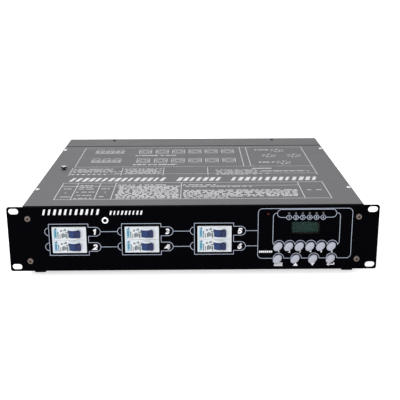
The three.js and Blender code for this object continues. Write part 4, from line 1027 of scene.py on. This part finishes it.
def rear_wall():
    """The upright rear plate, folded forward at the top into a strip of the upper face."""
    low, high = span("rear_panel")
    outline = box_outline(0, (low.z + high.z) / 2, 2 * HALF_CASE, high.z - low.z, 0.6, 4)
    radii = {**dict.fromkeys(OUTLETS, OUTLET_HOLE), "dmx_input": SOCKET_HOLE, "dmx_output": SOCKET_HOLE,
             "cable_gland": GLAND_HOLE}
    holes = [circle(-middle(name).x, PANEL_MIDDLE, radius, 64) for name, radius in radii.items()]
    wall = moved(plate(outline, holes, SHEET, SHEET_EDGE), y=high.y - SHEET, facing=REAR)
    upper = box_outline(0, (low.y + high.y) / 2, 2 * HALF_CASE, high.y - low.y, 0.6, 4)
    strip = moved(plate(upper, (), SHEET, SHEET_EDGE), z=high.z - SHEET)
    # Painted shade: a dark block along the strip's front edge stands for the shadow in the seam behind the
    # cover.
    edge = block((0.6 - HALF_CASE, low.y - 0.2, high.z - SHEET),
                 (HALF_CASE - 0.6, low.y + 0.6, high.z - 0.05))
    return joined([painted(wall, 0), painted(strip, 0), painted(edge, 1)])


def cover():
    low, high = span("top_cover")
    outline = box_outline(0, (low.y + high.y) / 2, 2 * HALF_CASE, high.y - low.y, 0.8, 4)
    place = middle("cover_earth_screw")
    hole = circle(place.x, place.y, EARTH_SCREW_HOLE, 32)
    return moved(plate(outline, [hole], SHEET, SHEET_EDGE), z=high.z - SHEET)


piece("case_tray", chassis(), GREY_PAINT, "grey_paint", "chassis_tray")
piece("case_crossbar", refined("front_crossbar", 0.35), BLACK_PAINT, "black_paint", "front_crossbar")
piece("case_rear", rear_wall(), [GREY_PAINT, SEAM_PAINTED_SHADE], "grey_paint", "rear_panel")
piece("case_cover", cover(), GREY_PAINT, "grey_paint", "top_cover")
for name in ("foot_front_left", "foot_front_right", "foot_rear_left", "foot_rear_right"):
    piece(name.replace("foot", "rubber_foot"), refined(name, 0.4), RUBBER, "foot_rubber", name)


def earth_screw():
    """A washer on the cover and a slotted head that stands clear of it on its shank, facing up."""
    washer = [(3.3, 0), (3.5, 0.2), (3.5, 0.45), (3.3, 0.6)]
    head = [(4.2, 2.6), (4.5, 2.9), (4.5, 4.6), (4.2, 5.2), (3.6, 5.5), (0, 5.6)]
    profile = [(0, -7), (2, -7), (2, 0), *washer, (2, 0.6), (2, 2.6), *head]
    mesh = combined(turned(profile, 56), block((-5, -0.55, 4.2), (5, 0.55, 6)))
    # Painted light: the head's high upward faces take the bright steel as its lit top, and all other faces
    # take the dark steel as painted shade and reflection.
    for face in mesh.polygons:
        face.material_index = 0 if face.normal.z > 0.5 and face.center.z > 4.4 else 1
    return mesh


place = middle("cover_earth_screw")
piece("earth_screw", moved(earth_screw(), place.x, place.y, COVER_TOP, spin=25), [BRIGHT_STEEL, BLACKENED_AND_PAINTED_SHADE],
      "bright_steel", "cover_earth_screw")


def cross_head(height=0.42):
    """A screw head one millimetre wide with a cross recess, its seat at z = 0."""
    dome = [(0.5 * math.cos(a), height * (0.3 + 0.7 * math.sin(a))) for a in (0.0, 0.3, 0.6, 0.9, 1.2)]
    head = turned([(0, 0), (0.5, 0), *dome, (0, height)], 24)
    for x, y in ((0.26, 0.05), (0.05, 0.26)):
        head = combined(head, block((-x, -y, 0.2), (x, y, 1)))
    return linked("screw_head", head)


HEAD = cross_head()


def screws(points, diameter, seed, material, facing, **place):
    """A set of screw heads on one face."""
    values = {"Head": HEAD, "Diameter": diameter, "Seed": seed, "Material": material}
    return moved(grown(SET_SCREWS, values, [(u, v, 0) for u, v in points]), facing=facing, **place)


def screw_piece(name, points, diameter, seed, material, slot, facing, **place):
    """One set of screw heads as a piece."""
    piece(name, screws(points, diameter, seed, material, facing, **place), material, slot)


def side_screws():
    places = [(y, z) for y in (60, 350) for z in (12, 76)]
    return joined([screws([(y * side, z) for y, z in places], 5.0, 6 + side, BLACKENED_AND_PAINTED_SHADE, facing,
                          x=side * HALF_CASE) for side, facing in zip(SIDES, (LEFT, RIGHT))])


cover_places = [(x, y) for x in (-216, 216) for y in (80, 321)]
strip_places = [(-141, 396), (141, 396)]
screw_piece("cover_screws", cover_places, 6.0, 3, BRIGHT_STEEL, "bright_steel", UP, z=COVER_TOP)
screw_piece("rear_strip_screws", strip_places, 5.0, 4, BLACKENED_AND_PAINTED_SHADE, "bronze_steel", UP, z=COVER_TOP)
piece("side_screws", side_screws(), BLACKENED_AND_PAINTED_SHADE, "bronze_steel")


# Rear fittings: outlets, signal sockets and the cable gland

OUTLET_WELL, OUTLET_FLOOR, OUTLET_SIZE, OUTLET_FLANGE = 19.5, -13.0, 50, 2.5
PIN_SPREAD, PIN_HOLE, PIN_SLEEVE = 9.5, 2.6, 1.9
SOCKET_WIDTH, SOCKET_HEIGHT, SOCKET_FLANGE = 26, 31, 3
CONTACTS = arc(0, 0, 5.0, -90, 150, 2)
SOCKET_WELL = [(0, -20), (11.4, -20), (11.8, -19.6), (11.8, 2.4), (9.8, 2.4), (9.3, 2.0), (9.3, -11)]
THREAD_TURNS, THREAD_PITCH = 6, 1.5
GLAND_RIBS = 18


def outlet():
    """A mains outlet on its own centre, facing up: flange, rim, well, pin holes and earth clips."""
    cup = turned([(0, -33), (21.4, -33), (21.8, -32.4), (21.8, 1), (22, 1), (22, 3.9), (21.4, 4.5),
                  (20.1, 4.5), (OUTLET_WELL, 3.9), (OUTLET_WELL, OUTLET_FLOOR), (0, OUTLET_FLOOR)], 72)
    for side in SIDES:
        cup = combined(cup, moved(disc(PIN_HOLE, -12, 2, 24), side * PIN_SPREAD, 0, OUTLET_FLOOR))
    outline = box_outline(0, 0, OUTLET_SIZE, OUTLET_SIZE, 4)
    made = [painted(cup, 0), painted(plate(outline, [circle(0, 0, 21.6, 72)], OUTLET_FLANGE, 0.6), 0)]
    for side in SIDES:
        sleeve = plate(circle(0, 0, PIN_HOLE, 24), [circle(0, 0, PIN_SLEEVE, 24)], 8, 0.1)
        clip = block((-3, 17.7, OUTLET_FLOOR - 0.5), (3, 19.6, 0), 0.4)
        guide = block((18.2, -2.4, OUTLET_FLOOR), (19.8, 2.4, 3.4), 0.3)
        made += [painted(moved(sleeve, side * PIN_SPREAD, 0, OUTLET_FLOOR - 9), 1),
                 painted(moved(clip, spin=90 * side - 90), 1), painted(moved(guide, spin=90 * side - 90), 0)]
    return joined(made)


def socket_flange():
    outline = box_outline(0, 0, SOCKET_WIDTH, SOCKET_HEIGHT, 2)
    return plate(outline, [circle(0, 0, 9.7, 64)], SOCKET_FLANGE, 0.5)


def signal_input():
    """A well with three pins, facing up."""
    made = [painted(turned([*SOCKET_WELL, (0, -11)], 64), 0), painted(socket_flange(), 0)]
    for x, y in CONTACTS:
        pin = turned([(0, -12), (1.2, -12), (1.2, -0.9), (0.9, -0.3), (0.4, 0), (0, 0)], 20)
        made.append(painted(moved(pin, x, y), 1))
    return joined(made)


def signal_output():
    """A ring groove round an insert with three holes, and the latch's slot above it, facing up."""
    cup = turned([*SOCKET_WELL, (7.4, -11), (7.4, 2.5), (7.0, 2.9), (0, 2.9)], 64)
    for x, y in CONTACTS:
        cup = combined(cup, moved(disc(1.5, -9, 1, 20), x, y, 3))
    rise = middle("dmx_latch").z - middle("dmx_output").z
    return joined([combined(part, block((-4.8, rise - 1.8, 0.3), (4.8, rise + 1.8, 4)))
                   for part in (cup, socket_flange())])


def latch_key():
    """The output's spring latch: a plate with a ribbed thumb face, facing up on its own centre."""
    low, high = span("dmx_latch")
    size = high - low
    half_x, half_y, top = size.x / 2, size.z / 2, size.y
    ribs = [block((x - 0.35, 0.35 - half_y, top - 0.8), (x + 0.35, half_y - 0.35, top), 0.12)
            for x in (-3, -1.5, 0, 1.5, 3)]
    return joined([block((-half_x, -half_y, 0), (half_x, half_y, top - 0.4), 0.35), *ribs])


def hexagon(bore, thickness):
    return plate(circle(0, 0, 15, 6), [circle(0, 0, bore, 48)], thickness, 0.5)


def gland():
    """Thread, hexagon, ribbed dome and bore, facing up."""
    profile = [(6.5, -10), (11.6, -10)]
    for index in range(THREAD_TURNS):
        profile += [(12.0, THREAD_PITCH * index - 9.2), (11.3, THREAD_PITCH * index - 8.5)]
    profile += [(12.0, 0.2), (13.0, 2.0), (13.0, 13.0), (12.6, 15.2), (11.4, 17.4), (9.6, 20.2), (8.6, 21),
                (6.9, 21), (6.5, 20.4)]
    ribs = [moved(block((12.2, -0.7, 7.2), (13.0, 0.7, 12.6), 0.25), spin=360 * index / GLAND_RIBS)
            for index in range(GLAND_RIBS)]
    return joined([turned(profile, 72), hexagon(12.6, 6), *ribs])


OUTLET_SHAPE = outlet()
for name in OUTLETS:
    piece(f"mains_{name}", on_rear(OUTLET_SHAPE.copy(), name), [BLACK_PLASTIC, BRASS], "black_plastic", name)
for name, make in (("dmx_input", signal_input), ("dmx_output", signal_output)):
    piece(f"{name}_socket", on_rear(make(), name), [BLACK_PLASTIC, BRASS], "black_plastic", name)
place, latch_back = middle("dmx_latch"), span("dmx_latch")[0].y
piece("output_latch", moved(latch_key(), place.x, latch_back, place.z, REAR), ZINC, "zinc_steel", "dmx_latch",
      body="dmx_latch")
piece("gland_body", on_rear(gland(), "cable_gland"), BLACK_PLASTIC, "black_plastic", "cable_gland")
lock_nut = moved(hexagon(12.3, 5), middle("cable_gland").x, span("gland_nut")[0].y, PANEL_MIDDLE, REAR)
piece("gland_lock_nut", lock_nut, BLACK_PLASTIC, "black_plastic", "gland_nut")
for name, nodes, across, up, diameter, rise, seed in (
        ("outlet_screws", OUTLETS, 20.5, 20.5, 4.6, OUTLET_FLANGE, 8),
        ("socket_screws", ("dmx_input", "dmx_output"), 9.6, 12.4, 3.6, SOCKET_FLANGE, 9)):
    places = [(-(middle(node).x + side * across), PANEL_MIDDLE + side * up)
              for node in nodes for side in SIDES]
    screw_piece(name, places, diameter, seed, ZINC, "zinc_steel", REAR, y=CASE_BACK + rise)
wall_places = [(x, z) for x in (-214, 214) for z in (14, 74)] + [(x, 82) for x in (-120, 0, 120)]
screw_piece("rear_wall_screws", wall_places, 5.0, 10, BLACKENED_AND_PAINTED_SHADE, "bronze_steel", REAR, y=CASE_BACK)


# Inside the case: wound chokes, and the nodes whose own shape stays with a better material

CHOKE_PITCH = 46.0
WIRE, CORE_INNER, CORE_OUTER, CORE_HEIGHT = 1.8, 9.4, 17.0, 13.0
WIRE_TURNS, LOOP_CORNER = 26, 1.6


def choke_bank():
    """A ring core with its winding for each channel, on one strip."""
    low, high = span("choke_bank")
    seat, half = low.z + 2, CORE_HEIGHT / 2
    strip = block((low.x, low.y, low.z), (high.x, high.y, seat), 0.4)
    mid = seat + WIRE + half - 0.3
    places = [(CHOKE_PITCH * (number - 3.5), (low.y + high.y) / 2, mid) for number in CHANNELS]
    section = [(CORE_INNER, -half), (CORE_OUTER, -half), (CORE_OUTER, half), (CORE_INNER, half)]
    cores = joined([moved(turned(section, 40), *place) for place in places])
    wound = grown(WINDING, {
        "Ring Radius": (CORE_INNER + CORE_OUTER) / 2, "Turns": WIRE_TURNS, "Wire Diameter": WIRE,
        "Loop Width": CORE_OUTER - CORE_INNER + WIRE, "Loop Height": CORE_HEIGHT + WIRE,
        "Corner": LOOP_CORNER, "Material": COPPER}, places)
    return joined([painted(strip, 1), painted(cores, 2), painted(wound, 0)])


piece("wound_chokes", choke_bank(), [COPPER, BEIGE, CORE_YELLOW], "copper", "choke_bank")
for node, material, slot in (
        ("rail_bracket", ZINC, "zinc_steel"), ("control_board", BOARD_GREEN, "board_green"),
        ("heat_sink", ALUMINIUM, "aluminium"), ("power_switch_row", BLACK_PLASTIC, "black_plastic"),
        ("power_board", BOARD_GREEN, "board_green"), ("terminal_block", BEIGE, "beige_plastic"),
        ("transformer", CORE_STEEL, "core_steel")):
    obj = frame["nodes"][node]
    obj.data.materials.clear()
    obj.data.materials.append(material)


# Print on the cover, in x and y

FINE = 0.9
# Each block's lower left corner, its width and height, its rows and its seed
MIDDLE_TEXT = ((-182, 174, 60, 20, 4, 41), (-120, 166, 10, 12, 2, 45), (-103, 164, 54, 30, 6, 42),
               (35, 157, 62, 27, 5, 43), (100, 172, 75, 5, 1, 44), (100, 160, 12, 3, 1, 46))
# The same, and where it isn't the usual one the dashes' height
LOWER_TEXT = ((-105, 36, 84, 58, 11, 71, 3.0), (-106, 100, 70, 3.4, 1, 72, 3.0),
              (-13, 42, 156, 32, 6, 73, 3.0), (-13, 35, 60, 2.6, 1, 74))
# The cells' single lines: lower left corner, width, height and seed
LOWER_CELLS = ((-181, 82, 14, 3, 51), (-176, 62, 3, 3, 52), (-181, 43, 14, 3, 53), (-128, 82, 14, 3, 54),
               (-122, 65, 3, 3, 55), (-128, 43, 14, 3, 56), (-160, 36, 24, 2.6, 57), (-160, 50, 24, 2.6, 58),
               (-160, 66, 24, 2.6, 59), (-160, 81, 24, 2.6, 60), (-160, 88.5, 18, 2.6, 61),
               (-160, 99, 20, 2.6, 62), (-14, 100, 44, 3.0, 63), (-13, 90, 100, 2.2, 64),
               (154, 70, 12, 3, 65), (168, 70, 11, 3, 66))


def upright(x, low, high):
    return stroke([(x, low), (x, high)], FINE)


def level(left, right, y):
    return stroke([(left, y), (right, y)], FINE)


def dotted(left, right, y, pitch=4.0):
    """A row of short dashes."""
    return print_rows(left, y - 0.5, right - left, 1.0, 1, pitch, 0.9, seed=2, shortest=0.6)


def text_block(x, y, width, height, rows, seed, dash_height=2.1):
    """Lines of small print: long uneven dashes, each line with its own breaks."""
    return print_rows(x, y, width, height, rows, 5.0, dash_height, seed, shortest=0.75, shift=0.5, gaps=0.03)


def socket_sign(x, y):
    """An outlet as a diagram: rounded square, ring and the clips at its sides."""
    made = [stroke(filleted(box_outline(x, y, 20, 26), 3), FINE, closed=True),
            stroke(circle(x, y, 8, 28), FINE, closed=True)]
    made += [patch(circle(x + side * 3.6, y, 1.1, 10)) for side in SIDES]
    return made + [upright(x + side * 2, y + 8, y + 5.4) for side in SIDES]


def round_sign(x, y, radius=11.0):
    """A round connector as a diagram: a broken ring, its contacts and a mark beside each."""
    made = [stroke(arc(x, y, radius, start, start + 38, 6), 0.7) for start in range(0, 360, 60)]
    places = arc(x, y, radius * 0.5, -60, 240, 4)
    made += [patch(box_outline(x + 1.5 * (u - x), y + 1.5 * (v - y), 3.0, 1.2)) for u, v in places]
    return made + [patch(circle(u, v, 1.2, 10)) for u, v in places]


def terminal_sign(y):
    """A terminal strip as a diagram: posts on a rail, with wires arching over them."""
    made = [patch(box_outline(-139, y, 48, 3.0))]
    for x in [-160 + index * 8.4 for index in range(6)]:
        made += [upright(x, y + 1.5, y + 9), stroke(circle(x, y + 12, 3.0, 14), FINE, closed=True)]
    made += [stroke(arc(-155.8 + index * 16.8, y + 17, 6.5, 160, 20, 10), FINE) for index in range(3)]
    return made


def upper_boxes():
    """Outlets in two rows, with a terminal strip before each and round connectors beside them."""
    low, high = 206, 338
    made = [dotted(-183, 184, y) for y in (high, low)]
    made += [upright(x, low, high) for x in (-183.3, 78.6, 89.5)] + [upright(184.5, 155, high)]
    for y in (238, 300):
        made += terminal_sign(y)
    for y in (246, 308.5):
        for x in (-80, -52, -24.5, 3, 30, 57.5):
            made += socket_sign(x, y)
    for x, y in ((141, 312), (124, 275), (165, 275), (143, 228)):
        made += round_sign(x, y)
    made += [text_block(-95, y - 2.4, 68, 4.8, 2, y) for y in (220, 281)]
    return made + [text_block(104, y - 3, 24, 6, 2, y + 1) for y in (231, 317)]


def middle_band():
    made = [upright(x, 155, 200) for x in (-185, -108, -45, 21.9)]
    made += [dotted(-185, 184, 163, 5.0), level(105, 170, 178), patch(box_outline(105, 192, 30, 3.4))]
    made += [patch(box_outline(x, 161, 3.4, 3.0)) for x in range(-180, -125, 8)]
    return made + [text_block(*block_of_text) for block_of_text in MIDDLE_TEXT]


def bar_band():
    """Three rows of slanted bars side by side."""
    return [bar for left, right, count, seed in ((-180, -40, 15, 0.3), (-25, 41, 7, 1.7), (54, 181, 13, 2.9))
            for bar in slanted_row(left, right, 122, 141, count, seed, 0.3)]


def lower_boxes():
    """A ruled table with a line in each cell, and two blocks of small print."""
    left, right, low, high = -185.5, 184.5, 32.0, 113.0
    made = [stroke([(left, low), (right, low), (right, high), (left, high)], FINE, closed=True)]
    made += [upright(x, low, high) for x in (-163.6, -132.0, -110.0, -17.0, 149.0)]
    made.append(level(left, 149, 96))
    made += [text_block(x, y, width, height, 1, seed) for x, y, width, height, seed in LOWER_CELLS]
    return made + [text_block(*block_of_text) for block_of_text in LOWER_TEXT]


cover_marks = upper_boxes() + middle_band() + bar_band() + lower_boxes()
piece("cover_print", moved(joined(cover_marks), z=COVER_TOP), COVER_PRINT, "grey_paint")
bpy.data.objects.remove(HEAD)


# Floor, light and camera

FLOOR_GLOW, FLOOR_REACH = 0.62, 60.0
WORLD_LIGHT = 0.72
CAMERA_PLACE = (1.18, -923.5, 376.05)
CAMERA_DOWN, CAMERA_TURN, CAMERA_ROLL = 0.2939, 0.0080, -0.0045
FOCAL_PIXELS, FRAME_PIXELS, SENSOR = 750.8, 400, 36.0


def seen_rays(tree):
    """The light path, and 1 for rays that come straight from the camera or by a mirroring surface."""
    ray = add(tree, "ShaderNodeLightPath").outputs
    return ray, reckoned(tree, "MAXIMUM", ray["Is Camera Ray"], ray["Is Glossy Ray"])


def floor_material():
    """White floor that keeps the object's shadow. The camera sees it brighter than it lights."""
    material, tree, place = empty_material("white_floor")
    tint = mixed(tree, noise(tree, place, 1000 / 3, 2.0), (0.93, 0.93, 0.93, 1), (0.96, 0.96, 0.96, 1))
    lit = add(tree, "ShaderNodeBsdfDiffuse", Color=tint)
    strength = reckoned(tree, "MULTIPLY", seen_rays(tree)[1], FLOOR_GLOW)
    glow = add(tree, "ShaderNodeEmission", Strength=strength)
    both = add(tree, "ShaderNodeAddShader", None, {0: lit.outputs[0], 1: glow.outputs[0]})
    add(tree, "ShaderNodeOutputMaterial", Surface=both.outputs[0])
    return material


def lay_floor():
    mesh = bpy.data.meshes.new("floor")
    corners = box_outline(0, 0, 2 * FLOOR_REACH, 2 * FLOOR_REACH)
    mesh.from_pydata([(x, y, 0) for x, y in corners], [], [(0, 1, 2, 3)])
    mesh.materials.append(floor_material())
    linked("floor", mesh)


def white_world():
    """Plain white round the object: full white where it is seen or mirrored, softer as a light."""
    world = bpy.data.worlds.new("studio")
    bpy.context.scene.world = world
    world.use_nodes = True
    tree = world.node_tree
    tree.nodes.clear()
    ray, seen = seen_rays(tree)
    through = reckoned(tree, "MAXIMUM", seen, ray["Is Transmission Ray"])
    strength = ranged(tree, through, 0.0, 1.0, WORLD_LIGHT, 1.0)
    glow = add(tree, "ShaderNodeBackground", Color=(1, 1, 1, 1), Strength=strength)
    add(tree, "ShaderNodeOutputWorld", Surface=glow.outputs[0])


def soft_lamp(name, place, aim, size, power):
    data = bpy.data.lights.new(name, "AREA")
    data.shape, data.size, data.energy = "DISK", size, power
    obj = linked(name, data)
    obj.location = place
    obj.rotation_euler = (Vector(aim) - Vector(place)).to_track_quat("-Z", "Y").to_euler()


def set_camera():
    """The photograph's view: the place, turn and focal length that the panel's slots and corners give."""
    flat = math.cos(CAMERA_DOWN)
    ahead = Vector((math.sin(CAMERA_TURN) * flat, math.cos(CAMERA_TURN) * flat, -math.sin(CAMERA_DOWN)))
    across = Vector((math.cos(CAMERA_TURN), -math.sin(CAMERA_TURN), 0))
    above = across.cross(ahead)
    right = across * math.cos(CAMERA_ROLL) + above * math.sin(CAMERA_ROLL)
    top = above * math.cos(CAMERA_ROLL) - across * math.sin(CAMERA_ROLL)
    data = bpy.data.cameras.new("camera")
    data.sensor_width = SENSOR
    data.lens = SENSOR * FOCAL_PIXELS / FRAME_PIXELS
    data.clip_start, data.clip_end = 0.05, 200.0
    camera = linked("camera", data)
    camera.matrix_world = (Matrix.Translation(TO_FRAME @ Vector(CAMERA_PLACE))
                           @ Matrix((right, top, -ahead)).transposed().to_4x4())
    bpy.context.scene.camera = camera


lay_floor()
white_world()
soft_lamp("key", (-0.75, -0.25, 1.5), (0, 0, 0.05), 0.5, 6.0)
soft_lamp("front", (-0.5, -1.9, 0.9), (0, -0.2, 0.05), 1.2, 9.0)
set_camera()
bpy.context.scene.view_settings.view_transform = "Standard"
